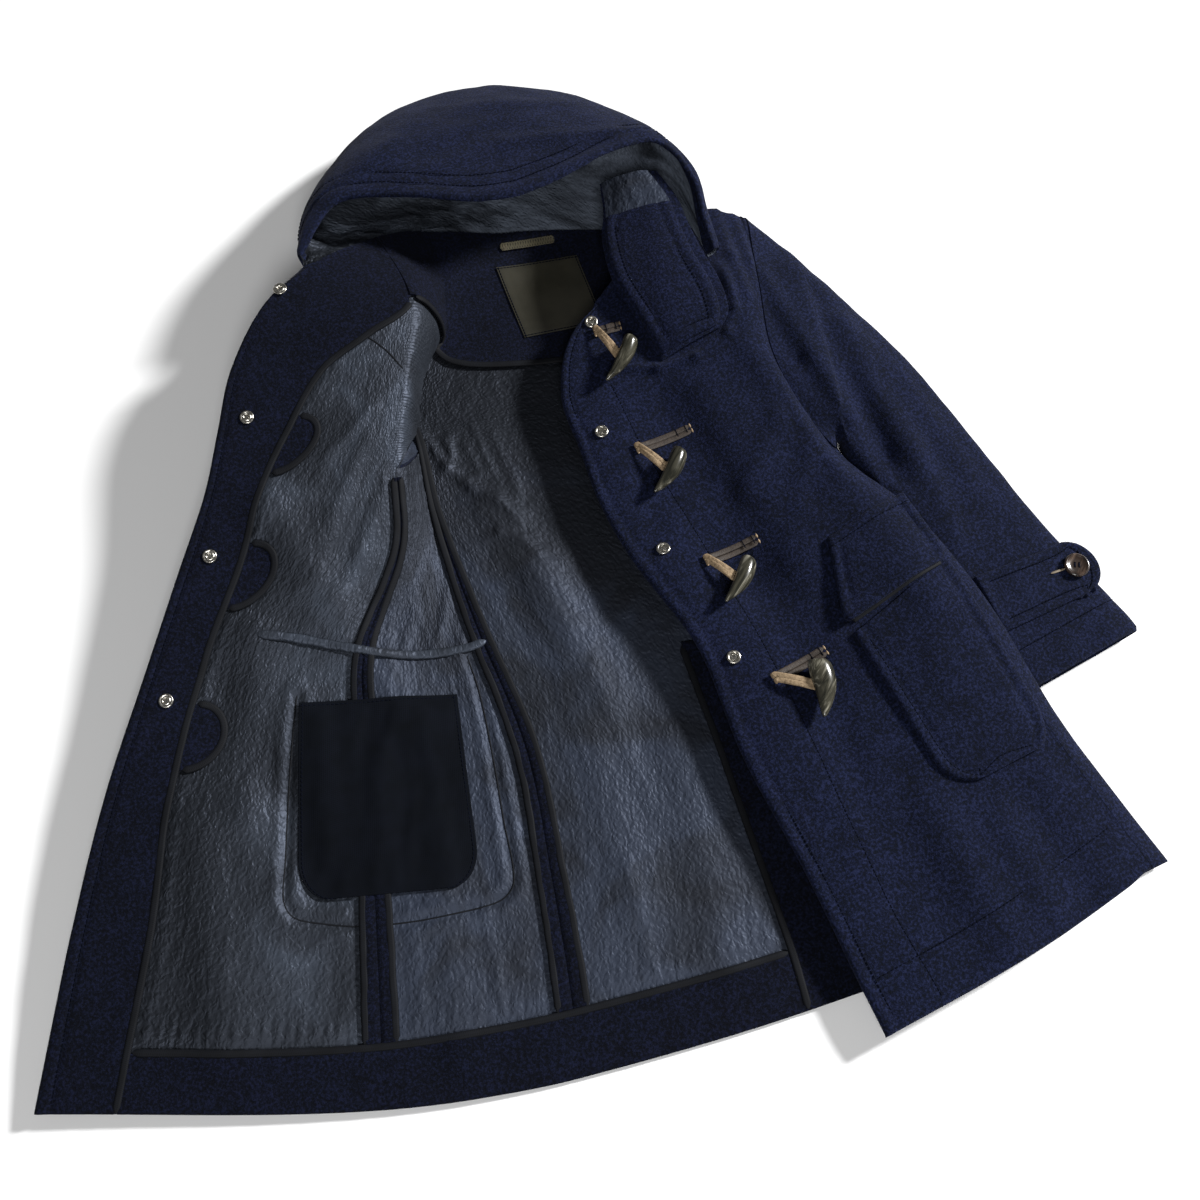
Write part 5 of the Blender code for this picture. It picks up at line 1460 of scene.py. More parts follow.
class COAT_OT_facings(bpy.types.Operator):
    """Facings, turned hem and seam allowances, with their bindings"""

    bl_idname = "coat.facings"
    bl_label = "Facings and bindings"

    def strip(self, name, girth, level, low, high, roll="", radius=0.9):
        """A wool piece on the opened inside, between two depths under the coat's face."""
        points, normals = lay(girth, level)
        drawn = rolled(from_edges(points, roll), radius) if roll else 0.0
        piece = shell(name + "_wool", (points, normals), -low - drawn, drawn - high, "inside",
                      "wool_inside", name, cut=(girth, level))
        sheet(points)

    def front_facing(self):
        """Facing of the right front: it rolls over the front edge into the wool."""
        groove, inset = measure("seam_groove"), measure("edge_stitch")
        levels = spaced(0.0, NECK, 3.4)
        reach = np.where(levels > 731.0, SIDE_R + 3.0, facing_edge(levels) - 1.5)
        girth, level = girths_between(0.6, reach, levels, 6.4)
        edge = girth - EDGE
        relief = 0.4 * rumple(girth / 30, level / 45, 51)
        relief += 0.8 * hump(edge / inset)
        relief -= groove * near(edge - inset, 2.2)
        low = ON_FILM + FACING_DROP - 1.85 * np.clip(1.0 - edge / 9.0, 0.0, 1.0)
        points, normals = lay(girth, level)
        drawn = rolled(from_edges(points, "a"), 3.0) + rolled(from_edges(points, "c"), 1.5)
        high = TRIM_TOP + FACING_DROP + relief
        low = np.minimum(low, high - drawn - 0.3)
        piece = shell("front_right_facing_wool", (points, normals), -low, drawn - high, "inside",
                      "wool_inside", "front_right_facing", cut=(girth, level))
        LAID["facing"] = Bed(points - normals * high[..., None])
        at = np.arange(8.0, NECK - 6.0, 4.0)
        row = inside_line(inset, at, TRIM_TOP + FACING_DROP - groove * 0.5)
        sheet(points, parts=[stitched("facing_stitches", [row], "wool_inside")])

    def hem(self):
        """Hem turned up over the front, the side and the back."""
        first, last = facing_edge(0.0) + 1.0, SPINE - 1.0
        levels = spaced(0.0, HEM_TOP - 0.5, 4.0)
        shares = spaced(0.0, last - first, 5.0) / (last - first)
        girth, level = np.broadcast_arrays(first + shares[:, None] * (last - first), levels[None])
        waves = np.sin(girth / 2.3 + 2.2 * rumple(girth / 24, level / 60, 52))
        relief = (0.35 * rumple(girth / 26, level / 30, 53)
                  + 0.22 * waves * np.clip(level / 46, 0, 1))
        relief -= 0.5 * near(girth - SIDE_R, 2.0) + 0.5 * near(girth - BACK_R, 2.0)
        low = 2.1 + 1.5 * np.clip(level / 12.0, 0.0, 1.0)
        self.strip("hem_turn_up", girth, level, low, TRIM_TOP + relief, "c", 1.7)

    def allowance(self, name, seam, last):
        """A seam's allowances, pressed open with its groove between them; gives their edges."""
        levels = spaced(50.0, last, 4.0)
        half = allowance_width(levels) - 2.0
        girth, level = girths_between(seam - half, seam + half, levels, 2.2)
        relief = 0.5 - 1.5 * near(girth - seam, 1.6) + 0.25 * rumple(girth / 8, level / 20, 54)
        self.strip(name, girth, level, ON_FILM, TRIM_TOP + relief)
        at = np.arange(49.5, last + 3.0, 4.5)
        runs = []
        for side in (-1.0, 1.0):
            reach = seam + side * (allowance_width(at) - 1.6)
            runs.append(inside_line(reach + 0.5 * rumple(at / 22.0, side, 55), at, ON_FILM + 1.25))
        return runs

    def stay(self, number, middle, half, reach):
        """A half-moon stay that carries a fastening's strain; gives its rounded edge."""
        def bow(turn):
            return reach * (0.15 + 0.85 * np.sqrt(np.maximum(0.0, 1.0 - turn * turn)))

        turn = np.linspace(-1.0, 1.0, 26)
        at = middle + half * turn
        shares = np.linspace(0.0, 1.0, 12)[:, None]
        girth = facing_edge(at)[None] + 1.0 + shares * (bow(turn) - 1.6)[None]
        level = np.broadcast_to(at, girth.shape)
        relief = 0.3 * rumple(girth / 14, level / 14, 58)
        self.strip("half_moon_%d" % number, girth, level, ON_FILM + 0.4, ON_FILM + 1.5 + relief)
        turn = np.sin(np.linspace(-0.5, 0.5, 40) * math.pi)
        at = middle + half * turn
        return inside_line(facing_edge(at) + 0.8 + bow(turn), at, ON_FILM + 1.1)

    def execute(self, context):
        self.front_facing()
        at = np.concatenate((np.arange(1.0, 700.0, 5.0), np.arange(700.0, 727.0, 2.0)))
        runs = [inside_line(facing_edge(at), at, ON_FILM + 1.35)]

        self.hem()
        across = np.arange(facing_edge(HEM_TOP + 1.0) + 4.0, SPINE - 2.0, 4.5)
        runs.append(inside_line(across, HEM_TOP, ON_FILM + 1.1))

        runs += self.allowance("seam_allowance_front", SIDE_R, 531.0)
        runs += self.allowance("seam_allowance_back", BACK_R, 584.0)

        levels = spaced(0.0, VENT_TOP, 4.0)
        girth, level = girths_between(SPINE + 1.5, SPINE + VENT_WIDTH, levels, 4.0)
        relief = 0.4 * rumple(girth / 24, level / 34, 56)
        self.strip("vent_facing", girth, level, ON_FILM, TRIM_TOP + relief, "cd", 1.0)
        at = np.arange(1.0, VENT_TOP - 1.0, 4.5)
        runs.append(inside_line(SPINE + 1.0, at, ON_FILM + 1.2))

        across = spaced(253.5, 719.0, 4.0)
        low_edge = neck_edge(across) + 1.5
        shares = spaced(0.0, 60.0, 4.0) / 60.0
        level = low_edge[:, None] + shares[None] * (NECK - 0.5 - low_edge)[:, None]
        girth = np.broadcast_to(across[:, None], level.shape)
        relief = 0.4 * rumple(girth / 30, level / 26, 57)
        relief += 0.5 * near(level - NECK + 9.0, 5.0) - 0.9 * near(level - NECK + 17.0, 2.5)
        low = ON_FILM + NECK_RISE
        self.strip("neck_facing", girth, level, low, low + TRIM + relief)
        across = np.arange(262.0, 718.0, 4.5)
        runs.append(inside_line(across, neck_edge(across), low + 1.1))

        for index, (middle, half, reach) in enumerate(STAYS):
            runs.append(self.stay(index + 1, middle, half, reach))
        band("bias_bindings", runs, measure("binding_width"), 2.7, "binding", "wool_inside")
        return {"FINISHED"}


class COAT_OT_pocket_inside(bpy.types.Operator):
    """Cotton backing of the pocket, and the piped tuck above it"""

    bl_idname = "coat.pocket_inside"
    bl_label = "Pocket backing"

    def backing(self):
        grid = patch_grid(LAID["inside"], COTTON, 3.4, (0.35, 0.35, 0.2))
        points = grid[0]
        x, y = points[..., 0], points[..., 1]
        along = x * 0.36 + y * 0.93
        across = x * 0.93 - y * 0.36
        wander = 0.35 * rumple(x / 60, y / 60, 61)
        relief = 2.1 * np.maximum(0.0, rumple(across / 21 + wander, along / 85, 62))
        relief += 0.8 * np.maximum(0.0, rumple(across / 9, along / 50, 63))
        relief += 0.9 * fold_lift(COTTON_FOLDS, x, y)
        edge = from_edges(points, "abcd")
        relief *= np.clip(edge / 9.0, 0.15, 1.0)
        low = 2.4
        piece = shell("pocket_backing_cotton", grid, low + 1.1 + relief - rolled(edge, 0.5),
                      low + relief * 0.9, "cotton", "cotton", "pocket_backing")
        rows = [edge_run(*grid, side, 3.0, low + 1.2) for side in "abd"]
        sheet(points, parts=[stitched("pocket_backing_stitches", rows, "cotton")])

    def execute(self, context):
        self.backing()
        points, normals = LAID["inside"].rest(*along_line(TUCK, 1.6).T)
        points = points + normals * 2.6
        length = run(points[None], 1)[0]
        spots = 14
        turn = 2.0 * math.pi * np.arange(spots) / spots
        side = unit(np.cross(unit(np.gradient(points, axis=0)), normals))
        pucker = 0.5 + 0.5 * np.sin(length / 6.0 + 1.8 * rumple(length / 15, 0.0, 64))
        wide = 4.1 + 0.4 * rumple(length / 12, 0.5, 65)
        rise = 1.9 + 0.5 * pucker
        ends = np.sqrt(np.clip(np.minimum(length, length[-1] - length) / 6.0, 0.03, 1.0))
        ring = (points[:, None]
                + side[:, None] * (np.cos(turn)[None] * (wide * ends)[:, None])[..., None]
                + normals[:, None] * (np.sin(turn)[None] * (rise * ends)[:, None])[..., None])
        index = np.arange(len(points) * spots).reshape(len(points), spots)
        faces = ring_faces(index).tolist()
        faces += [index[0][::-1].tolist(), index[-1].tolist()]
        uvs = np.stack((np.repeat(length + 200.0, spots), np.tile(turn * 3.0, len(points))), -1)
        keep(add_mesh("film_tuck", ring.reshape(-1, 3), faces, "ribbed", uvs), "lining")
        return {"FINISHED"}


class COAT_OT_label(bpy.types.Operator):
    """Bare satin label and the hanger loop"""

    bl_idname = "coat.label"
    bl_label = "Label and loop"

    def execute(self, context):
        bed = LAID["back"]
        lift = ON_FILM + NECK_RISE + TRIM - FILM
        grid = patch_grid(bed, LABEL, 3.0, None, 0.6)
        points = grid[0]
        edge = from_edges(points, "abcd")
        relief = 0.5 * rumple(points[..., 0] / 34, points[..., 1] / 30, 71) + 0.5
        relief = relief * np.clip(edge / 12.0, 0.2, 1.0) + 0.35 * near(edge - 4.0, 2.0)
        piece = shell("label_satin", grid, lift + 1.3 + relief, lift + 0.9 + relief * 0.8, "satin",
                      "satin", "label")
        rows = [edge_run(*grid, side, 1.8, lift + 1.6) for side in "abcd"]
        sheet(points, parts=[stitched("label_stitches", rows, "satin", 3.2)])

        (ax, ay), (bx, by) = LOOP[0], LOOP[1]
        share = np.linspace(0.0, 1.0, 34)
        middle_y = (LOOP[0][1] + LOOP[3][1]) / 2.0 + (by - ay) * share
        line, up = bed.rest(ax + (bx - ax) * share, middle_y)
        arch = lift + 1.2 + 0.7 * np.sin(math.pi * share) ** 0.6
        band("hanger_loop_braid", [(line + up * arch[:, None], up)], 8.8, 0.9, "braid", "braid",
             "hanger_loop", spots=24)
        bars = []
        for x, y in ((ax + 3.0, ay), (bx - 3.0, by), (ax + 5.5, ay), (bx - 5.5, by)):
            line, up = bed.rest(np.full(5, x), y + np.linspace(0.4, 8.6, 5))
            bars.append((line + up * (lift + 1.8), up))
        stitched("hanger_loop_stitches", bars, "braid", 2.9, "buff thread")
        return {"FINISHED"}


class COAT_OT_hood(bpy.types.Operator):
    """Hood: wool outside, crinkled film inside, faced and topstitched at the brim"""

    bl_idname = "coat.hood"
    bl_label = "Hood"

    def execute(self, context):
        groove = measure("seam_groove")
        points = hood_grid((150, 132))
        normals = grid_normals(points)
        normals[points[..., 2] < 0.01] = DOWN
        around, path = run(points, 0), run(points, 1)
        to_brim = path[:, -1:] - path
        upper = np.clip(normals[..., 2] * 2.0, 0.0, 1.0)
        relief = upper * fold_lift(HOOD_FOLDS, points[..., 0], points[..., 1])
        relief += upper * (0.8 * rumple(around / 40, path / 36, 81)
                           + 0.3 * rumple(around / 15, path / 15, 82))
        near_row, far_row = BRIM_STITCHES
        relief += 0.9 * near(to_brim - 8.0, 8.0) - groove * near(to_brim - near_row, 2.0)
        relief -= 0.5 * groove * near(to_brim - far_row, 2.2)
        ends = np.clip(np.minimum(around, around[-1:] - around) / 8.0, 0.0, 1.0)
        relief *= ends
        relief = np.where(points[..., 2] < 2.0, np.minimum(relief, 0.0), relief)
        drawn = rolled(to_brim, 2.4)
        doubled = np.clip((BRIM - to_brim) / 3.0, 0.0, 1.0) * ends
        inner = inner_face(relief, 0.6, 2.4 * doubled, drawn)
        piece = shell("hood_wool", (points, normals), relief - drawn, inner, "wool", "wool", "hood")
        rows = []
        for inset in BRIM_STITCHES:
            line, up = edge_run(points[8:-8], normals[8:-8], "d", inset, 0.0)
            rows.append((line + up * 0.25, up))
        sheet(points, parts=[stitched("hood_stitches", rows, "wool")])

        # The film is loose in the hood, and crumples in folds of 20 to 40 mm.
        loose = rumple(around / 17 + 0.6 * rumple(around / 40, path / 40, 71), path / 26, 72)
        relief = np.maximum(crinkle(around * 0.9 + 2000.0, path, 7), 0.0)
        relief = relief + 3.4 * np.maximum(loose, 0.0)
        calm = np.clip((to_brim - BRIM) / 8.0, 0.0, 1.0) * np.clip(path / 9.0, 0.1, 1.0)
        relief *= (0.08 + 0.92 * calm) * np.clip(ends, 0.1, 1.0)
        count = int(0.925 * points.shape[1])
        points, normals, relief, around, path = (
            grid[:, :count] for grid in (points, normals, relief, around, path))
        piece = shell("hood_film", (points, normals), -(WOOL + SEAM_GAP), -(FILM + relief),
                      "hood film painted lighter", "lining", "hood_lining", cut=(around, path))
        sheet(points)
        return {"FINISHED"}


class COAT_OT_hood_corner(bpy.types.Operator):
    """The hood's front corner, turned out on the chest: outer layer, facing, film above"""

    bl_idname = "coat.hood_corner"
    bl_label = "Hood corner"

    def execute(self, context):
        groove = measure("seam_groove")
        points, shares_u, shares_v = corner_grid(3.2, 1.2)
        drawn = rolled(from_edges(points, "abc"), 1.0)
        piece = shell("hood_corner_wool", (points, grid_normals(points, True)), WOOL - drawn, drawn,
                      "wool", "wool", "hood_corner")
        sheet(points)

        # The facing lies on the outer layer, drawn in from its right edge and its point.
        line = points[-1] - points[0]
        inner = 1.0 - CORNER_INSET / np.linalg.norm(line, axis=-1)
        first = 0.45 * inner / 5.0 * 0.6
        share = first[None] + (inner - first)[None] * shares_u[:, None]
        top = points[:1] + line[None] * share[..., None]
        top[..., 2] = (points[:1, :, 2] + line[None, :, 2] * shares_u[:, None]
                       + 3.0 * np.sin(math.pi * shares_u)[:, None])
        reach = 0.045 + 0.955 * shares_v
        top = smooth(shares_v, top.transpose(1, 0, 2), reach).transpose(1, 0, 2)
        normals = grid_normals(top, True)
        count = int((reach <= CORNER_FILM).sum())
        edge = from_edges(top, "abc")
        relief = 0.5 * rumple(top[..., 0] / 26, top[..., 1] / 30, 91) + 0.4
        relief += 0.9 * hump(edge / 12.0) - groove * near(edge - 12.0, 2.0)
        relief += fold_lift(((150, 215, 175, 330, 1.6, 16.0),), top[..., 0], top[..., 1])
        drawn = rolled(edge, 2.0)
        low, high = WOOL + 0.25, 2.5 + TRIM
        outer = high + relief - drawn
        inner = np.minimum(low + 0.4 * drawn, outer - 0.4)
        face = (top[:, :count], normals[:, :count])
        piece = shell("hood_corner_facing_wool", face, outer[:, :count], inner[:, :count], "wool",
                      "wool_inside", "hood_corner_facing")
        row = corner_run(*face, 12.0, high + 0.4, "acb")
        stitches = stitched("hood_corner_stitches", [row], "wool_inside")
        sheet(face[0], parts=[stitches])

        part = top[:, count - 1:]
        cut_u, cut_v = run(part, 0), run(part, 1)
        relief = np.maximum(0.0, crinkle(cut_u + 3000.0, cut_v * 0.9, 9))
        relief = relief * (0.15 + 0.85 * np.clip(cut_v / 6.0, 0.0, 1.0))
        relief *= np.clip(from_edges(part, "ab") / 6.0, 0.1, 1.0)
        piece = shell("hood_corner_film", (part, normals[:, count - 1:]), high - 0.5 + relief,
                      low + 0.2, "film", "lining", cut=(cut_u + 200.0, cut_v))
        sheet(part)
        return {"FINISHED"}


class COAT_OT_sleeves(bpy.types.Operator):
    """Both sleeves, with the left cuff's tab"""

    bl_idname = "coat.sleeves"
    bl_label = "Sleeves and tab"

    def left(self, groove):
        """The left sleeve, its cuff's stitching and the taped seam in its armhole."""
        points = sleeve_grid((124, 128))
        normals = round_normals(points)
        around = run(np.concatenate((points, points[:1])), 0)[:-1]
        path = run(points, 1)
        to_cuff = path[:, -1:] - path
        raised = (np.clip((points[..., 2] - 3.0) / 8.0, 0.0, 1.0)
                  * np.clip(path / 10.0, 0.0, 1.0))
        relief = fold_lift(SLEEVE_CREASES, points[..., 0], points[..., 1])
        relief += (0.9 * rumple(around / 38, path / 60, 101)
                   + 0.35 * rumple(around / 15, path / 20, 102))
        relief = relief * raised
        relief += (0.6 * near(to_cuff - 16.0, 14.0)
                   - 0.5 * groove * near(to_cuff - CUFF_STITCH, 2.4)) * raised
        drawn = rolled(to_cuff, 2.2)
        doubled = np.clip((CUFF_STITCH + 2.0 - to_cuff) / 4.0, 0.0, 1.0)
        inner = inner_face(relief, 0.6, 1.8 * doubled, drawn)
        piece = shell("sleeve_left_wool", (points, normals), relief - drawn, inner, "wool", "wool",
                      "sleeve_left", closed=True)
        line, up = edge_run(points, normals, "d", CUFF_STITCH, 0.1)
        lifted = line[:, 2] > 6.0
        stitches = stitched("sleeve_left_stitches", [(line[lifted], up[lifted])], "wool")
        sheet(points, parts=[stitches], closed=True)

        # A taped seam inside the armhole, on all of it that is clear of the floor.
        turn = -int(np.argmin(points[:, 1, 2]))
        ring, out = (np.roll(grid[:, 1], turn, axis=0) for grid in (points, normals))
        clear = ring[:, 2] > 9.0
        band("armhole_left_seam", [((ring - out * 2.4)[clear], out[clear])], 13.0, 2.0, "wool",
             "wool")

        # The sleeve's upper side, as one run of lines: what lies on it rests there.
        order = np.nonzero(normals[..., 2].mean(axis=1) > 0.05)[0]
        if np.diff(order).max() > 1:
            gap = int(np.argmax(np.diff(order))) + 1
            order = np.concatenate((order[gap:], order[:gap]))
        LAID["sleeve"] = Bed((points + normals * relief[..., None])[order][:, 20:])

    def right(self):
        """The right sleeve under the opened front, and its head up to the armhole."""
        turns = 2.0 * math.pi * np.arange(16) / 16.0
        points = refined(tube_grid(SLEEVE_R, turns), (64, 54), closed=True)
        drawn = rolled(from_edges(points, "d"), 1.0)
        piece = shell("sleeve_right_wool", (points, round_normals(points)), -drawn, drawn - WOOL,
                      "wool", "wool", "sleeve_right", closed=True)
        sheet(points, closed=True)

        upper = ARM + (SHOULDER - ARM) * np.arange(9) / 8.0
        first = armhole(upper, front_end(upper), BACK_R - 4.0, BACK_R, SIDE_R)
        rest = tube_grid(SLEEVE_R, SLEEVE_TURNS)[:, :2]
        points = refined(np.concatenate((first[:, None], rest), axis=1), (72, 16), closed=True)
        grid = (points, round_normals(points))
        wool = shell("sleeve_right_head_wool", grid, -0.3, -2.0, "wool", "wool", closed=True)
        sheet(points, closed=True)
        relief = np.maximum(0.0, crinkle(run(points, 0) + 4000.0, run(points, 1), 11)) * 0.5
        film = shell("sleeve_right_head_film", grid, -2.3, -2.9 - relief, "film", "lining",
                     closed=True)
        sheet(points, closed=True)

    def tab(self, groove):
        """The tab: its rounded end stands out past the sleeve's side."""
        shares_u = spaced(0.0, 108.0, 3.2, 1.6) / 108.0
        shares_v = spaced(0.0, 47.0, 3.2, 1.6) / 47.0
        u, v = np.meshgrid(shares_u, shares_v, indexing="ij")
        spot = patch_places(CUFF_TAB, shares_u, shares_v)
        bow = 1.0 - np.sqrt(np.maximum(0.0, 1.0 - (2.0 * v - 1.0) ** 2))
        spot[..., 0] -= TAB_ROUND * u ** 5 * bow
        z = LAID["sleeve"].height(np.minimum(spot[..., 0], TAB_ON), spot[..., 1])
        z = z - 0.05 * np.maximum(0.0, spot[..., 0] - TAB_ON)
        points = np.stack((spot[..., 0], spot[..., 1], even_rows(z)), -1)
        normals = grid_normals(points, True)
        edge = from_edges(points, "abcd")
        relief = 0.7 * hump(edge / 9.0) - groove * near(edge - 9.0, 1.8)
        relief += 0.3 * rumple(points[..., 0] / 16, points[..., 1] / 16, 104)
        drawn = rolled(edge, 1.5)
        piece = shell("cuff_tab_left_wool", (points, normals), TAB_LIFT + 3.0 + relief - drawn,
                      TAB_LIFT + 0.8 * drawn, "wool", "wool", "cuff_tab_left")
        row = corner_run(points, normals, 9.0, 3.9, "cbd")
        stitches = stitched("cuff_tab_stitches", [row], "wool", 3.4)
        x = np.linspace(BUTTON[0] - 24.0, BUTTON[0] - 10.0, 8)
        hole = np.stack((x, np.full(8, BUTTON[1] + 1.0), np.zeros(8)), -1)
        hole[:, 2] = LAID["sleeve"].height(np.minimum(x, TAB_ON), hole[:, 1]) + 4.6
        bar = band("cuff_tab_buttonhole", [(hole, UP)], 2.2, 1.0, "buff thread",
                   "wool", spots=8)
        sheet(points, parts=[stitches, bar])

    def execute(self, context):
        groove = measure("seam_groove")
        self.left(groove)
        self.right()
        self.tab(groove)
        return {"FINISHED"}


class COAT_OT_pocket(bpy.types.Operator):
    """Patch pocket of the left front, and its flap"""

    bl_idname = "coat.pocket"
    bl_label = "Patch pocket"

    def patch(self, name, corners, rounding, slope, low):
        """The pocket, or with a slope its flap, which is sewn down along its high side."""
        groove = measure("seam_groove")
        points, normals = patch_grid(LAID["front"], corners, 2.9, rounding)
        points[..., 2] = even_rows(points[..., 2], 3)
        across = run(points, 0) / run(points, 0)[-1:]
        along = run(points, 1) / run(points, 1)[:, -1:]
        edge = from_edges(points, "abcd" if slope else "abc")
        relief = 1.5 * np.sin(math.pi * across) * np.sin(math.pi * along) + slope * (1.0 - along)
        relief += 0.8 * hump(edge / POCKET_STITCH)
        relief -= 1.3 * groove * near(edge - POCKET_STITCH, 2.2)
        relief += 0.5 * rumple(points[..., 0] / 30, points[..., 1] / 34, 111)
        drawn = rolled(edge, 1.7)
        outer = 1.05 + TRIM + 0.4 + relief - drawn
        inner = np.minimum(low + relief * 0.55 + 0.3 * drawn, outer - 0.5)
        piece = shell(name + "_wool", (points, normals), outer, inner, "wool", "wool", name)
        parts = []
        face = points + normals * outer[..., None]
        if slope:
            # A dark band under the flap's lower edge, drawn as its lining's edge: painted shade
            # under the flap.
            line, up = edge_run(points, normals, "c", 0.3, low + 0.4)
            parts.append(band(name + "_lining", [(line[2:-2], up[2:-2])], 5.0, 1.0, "binding",
                              "wool"))
            row = edge_run(face, normals, "d", 11.0, 0.1)
        else:
            # Its stitching shows on the side toward the opening and below.
            row = corner_run(face, normals, POCKET_STITCH, 0.1, "ac")
        parts.append(stitched(name + "_stitches", [row], "wool"))
        sheet(points, parts=parts)

    def execute(self, context):
        self.patch("pocket_left", POCKET, (0.6, 0.4, 0.2), 0.0, 0.6)
        self.patch("pocket_flap_left", FLAP_POCKET, (0.16, 0.16, 0.16), 4.0, 1.0)
        return {"FINISHED"}


class COAT_OT_toggles(bpy.types.Operator):
    """Horn toggles, their leather laces and the sewn straps"""

    bl_idname = "coat.toggles"
    bl_label = "Toggles"

    def horn(self, number, start, axis, wide, high):
        """The horn, drawn from its flat broad end to the tip, with a slight bow."""
        rings = [(share * wide, place_along * HORN_LENGTH) for place_along, share in HORN]
        horn = turned("toggle_%d_horn" % number, rings, 14, "horn")
        applied(horn, "SUBSURF", levels=2, render_levels=2)
        horn.data.transform(Matrix.Diagonal((1.0, high / wide, 1.0, 1.0)))
        for vert in horn.data.vertices:
            share = vert.co.z / HORN_LENGTH
            vert.co.x += 3.6 * math.sin(math.pi * min(1.0, max(0.0, share))) - 1.2
        horn.data.transform(Matrix(((0, 0, 1, 0), (1, 0, 0, 0), (0, 1, 0, 0), (0, 0, 0, 1))))
        settle(horn, start, axis, np.cross(axis, np.cross(UP, axis)))
        keep(horn, "horn", "toggle_%d" % number)

    def lace(self, fold, ahead, waist, wide):
        """A pale lace from the turn of the dark one, over it and up to the horn."""
        bend = np.linspace(-math.pi / 2.0, math.pi / 2.0, 9)[:, None]
        arc = (fold + UP * LACE_TURN + ahead * np.cos(bend) * 2.4
               + UP * np.sin(bend) * LACE_TURN)
        share = np.linspace(0.0, 1.0, 18)[1:, None]
        end = waist - unit(waist - arc[-1]) * (wide * 0.45)
        rest = arc[-1] + (end - arc[-1]) * share
        rest[:, 2] += (1.6 * np.sin(math.pi * share)).ravel()
        line = np.concatenate((arc, rest))
        facing = unit(np.cross((-ahead[1], ahead[0], 0.0), np.gradient(line, axis=0)))
        return line, np.where((facing[-1] @ UP) < 0.0, -facing, facing)

    def toggle(self, number, sewn, turn, broad, tip, wide, high):
        bed = LAID["front"]
        points = bed.rest(*np.array((broad, tip), float).T)[0]
        points[:, 2] += HORN_LIFT
        axis = unit(points[1] - points[0])
        start = points.mean(axis=0) - axis * HORN_LENGTH / 2.0
        self.horn(number, start, axis, wide, high)

        # Two laces side by side: dark along the front to the turn, then pale up to the horn.
        waist = start + axis * HORN_LENGTH * 0.475
        sewn, turn = np.array(sewn, float), np.array(turn, float)
        along = unit(turn - sewn)
        across = np.array((-along[1], along[0]))
        dark, pale, ends, marks = [], [], [], []
        for shift in (-LACE_SHIFT, LACE_SHIFT):
            share = np.linspace(0.0, 1.0, 22)
            plan = sewn + (turn - sewn) * share[:, None] + across * shift
            line = bed.rest(*plan.T)[0]
            line[:, 2] = even_line(line[:, 2]) + 1.3
            dark.append((line, UP))
            ahead = np.array((along[0], along[1], 0.0))
            pale.append(self.lace(line[-1], ahead, waist + axis * shift * 0.95, wide))
            plan = sewn - along * np.array((1.7, 1.0, 0.0))[:, None] + across * shift
            line = bed.rest(*plan.T)[0]
            line[:, 2] += 1.35
            ends.append((line, UP))
        strap = "toggle_strap_%d" % number
        band(strap + "_lace", dark, 5.0, 1.3, "dark", "dark_leather", strap)
        cord = "toggle_cord_%d" % number
        band(cord + "_lace", pale, 4.9, 1.4, "tan", "tan_leather", cord)
        band(strap + "_end", ends, 5.0, 1.5, "tan", "tan_leather")
        for reach in (3.5, 12.5):
            plan = sewn + along * reach + across * np.linspace(-5.0, 5.0, 5)[:, None]
            line = bed.rest(*plan.T)[0]
            line[:, 2] = line[:, 2].max() + 2.0
            marks.append((line, UP))
        stitched(strap + "_stitches", marks, "dark_leather", 2.6)

    def execute(self, context):
        for index, toggle in enumerate(TOGGLES):
            self.toggle(index + 1, *toggle)
        return {"FINISHED"}


class COAT_OT_snaps(bpy.types.Operator):
    """Snap fasteners: sockets on the right facing, studs on the left front"""

    bl_idname = "coat.snaps"
    bl_label = "Snaps"

    def snap(self, name, kind, bed, place_on, rings):
        """A socket or a stud, settled where it is riveted; gives its place and normal."""
        spot, normal = (found[0] for found in bed.rest(*np.array(place_on, float)[:, None]))
        made = turned(name + "_" + kind, rings, 36, "nickel")
        settle(made, spot + normal * 0.3, (1.0, 0.0, 0.0), normal)
        keep(made, "nickel", name)
        return spot, normal

    def spring(self, name, spot, normal):
        """The two bent wires inside a stud."""
        y_axis = unit(np.cross(normal, (1.0, 0.0, 0.0)))
        x_axis = np.cross(y_axis, normal)
        bend = np.linspace(-1.9, 1.9, 16)
        wires = []
        for side in (1.0, -1.0):
            middle = spot + normal * 1.7 + x_axis * side * -0.4
            arc = (middle + x_axis * (side * (1.4 * np.cos(bend) + 0.8))[:, None]
                   + y_axis * (2.5 * np.sin(bend * 0.8))[:, None])
            wires.append((arc, normal))
        band(name, wires, 0.75, 0.75, "nickel", "nickel", spots=8)

    def execute(self, context):
        for index, spot in enumerate(SNAPS_R):
            self.snap("snap_right_%d" % (index + 1), "socket", LAID["facing"], spot, SOCKET)
        for index, spot in enumerate(SNAPS_L):
            name = "snap_left_%d" % (index + 1)
            self.spring(name + "_spring", *self.snap(name, "stud", LAID["front"], spot, STUD))
        return {"FINISHED"}


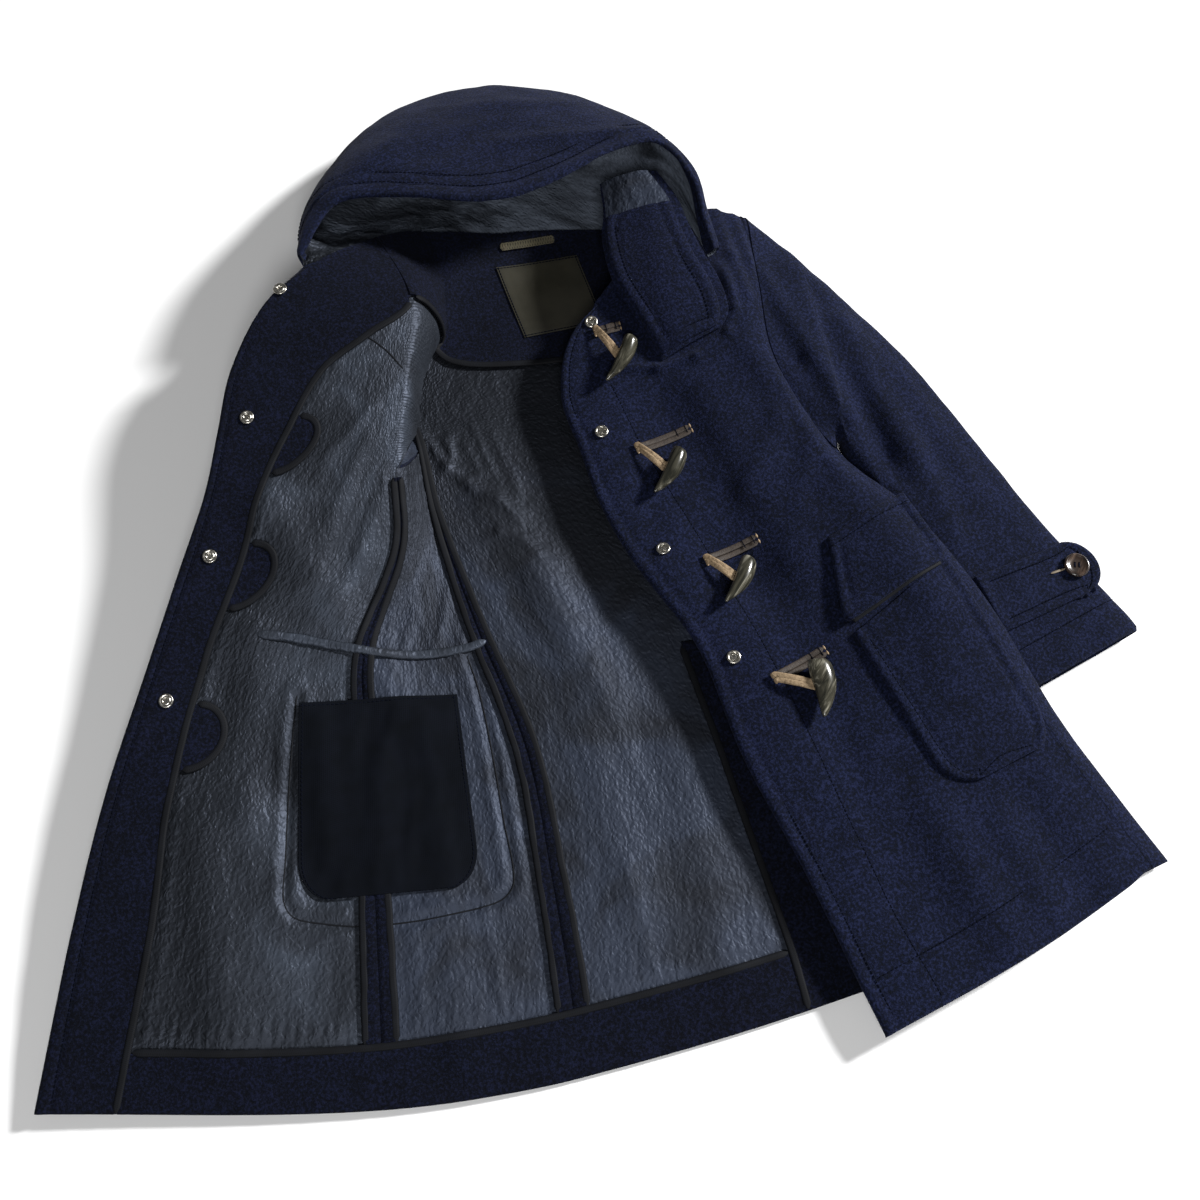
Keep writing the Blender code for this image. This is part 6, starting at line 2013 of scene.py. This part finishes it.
class COAT_OT_button(bpy.types.Operator):
    """Four-hole horn button of the left cuff's tab"""

    bl_idname = "coat.button"
    bl_label = "Cuff button"

    def execute(self, context):
        button = turned("cuff_button", BUTTON_RINGS, 48, "button")
        for x, y in ((1, 1), (-1, 1), (1, -1), (-1, -1)):
            drill = primitive("cylinder", vertices=16, radius=0.95, depth=9.0,
                              location=(x * HOLE_SHIFT, y * HOLE_SHIFT, 1.5))
            applied(button, "BOOLEAN", object=drill, operation="DIFFERENCE", solver="EXACT")
            bpy.data.objects.remove(drill)
        z = float(LAID["sleeve"].height(np.array((TAB_ON,)), np.array((BUTTON[1],)))[0])
        spot = np.array((BUTTON[0], BUTTON[1], z + TAB_LIFT + TRIM + 2.2))
        x_axis, y_axis = np.array((0.92, -0.39, 0.0)), np.array((0.39, 0.92, 0.0))
        settle(button, spot, x_axis, UP)
        keep(button, "button", "cuff_button_left")
        bars = []
        share = np.linspace(-2.1, 2.1, 9)[:, None]
        for shift in (-HOLE_SHIFT, HOLE_SHIFT):
            for lean in (-0.35, 0.35):
                line = spot + y_axis * share + x_axis * (shift + lean)
                line[:, 2] += 2.9 - 0.35 * (share.ravel() / 2.1) ** 4
                bars.append((line, UP))
        band("cuff_button_thread", bars, 0.7, 0.7, "thread", "button", spots=6)
        return {"FINISHED"}


class COAT_PT_panel(bpy.types.Panel):
    """Steps of the coat, in the order that they are made"""

    bl_idname = "COAT_PT_panel"
    bl_label = "Duffle coat"
    bl_space_type = "VIEW_3D"
    bl_region_type = "UI"
    bl_category = "Coat"

    def draw(self, context):
        for step in STEPS:
            self.layout.operator("coat." + step)
        for group in (context.scene.coat_cloth, context.scene.coat_stage):
            box = self.layout.box()
            for name in group.bl_rna.properties.keys():
                if name not in {"rna_type", "name"}:
                    box.prop(group, name)


STEPS = ("stage", "wool", "left_front", "film", "facings", "pocket_inside", "label", "hood",
         "hood_corner", "sleeves", "pocket", "toggles", "snaps", "button")
CLASSES = (CoatCloth, CoatStage, COAT_OT_stage, COAT_OT_wool, COAT_OT_left_front, COAT_OT_film,
           COAT_OT_facings, COAT_OT_pocket_inside, COAT_OT_label, COAT_OT_hood,
           COAT_OT_hood_corner, COAT_OT_sleeves, COAT_OT_pocket, COAT_OT_toggles, COAT_OT_snaps,
           COAT_OT_button, COAT_PT_panel)


def register():
    for cls in CLASSES:
        bpy.utils.register_class(cls)
    bpy.types.Scene.coat_cloth = PointerProperty(type=CoatCloth)
    bpy.types.Scene.coat_stage = PointerProperty(type=CoatStage)


def unregister():
    del bpy.types.Scene.coat_stage
    del bpy.types.Scene.coat_cloth
    for cls in reversed(CLASSES):
        bpy.utils.unregister_class(cls)


def main():
    register()
    for step in STEPS:
        getattr(bpy.ops.coat, step)()
    bpy.context.view_layer.update()


if __name__ == "__main__":
    main()
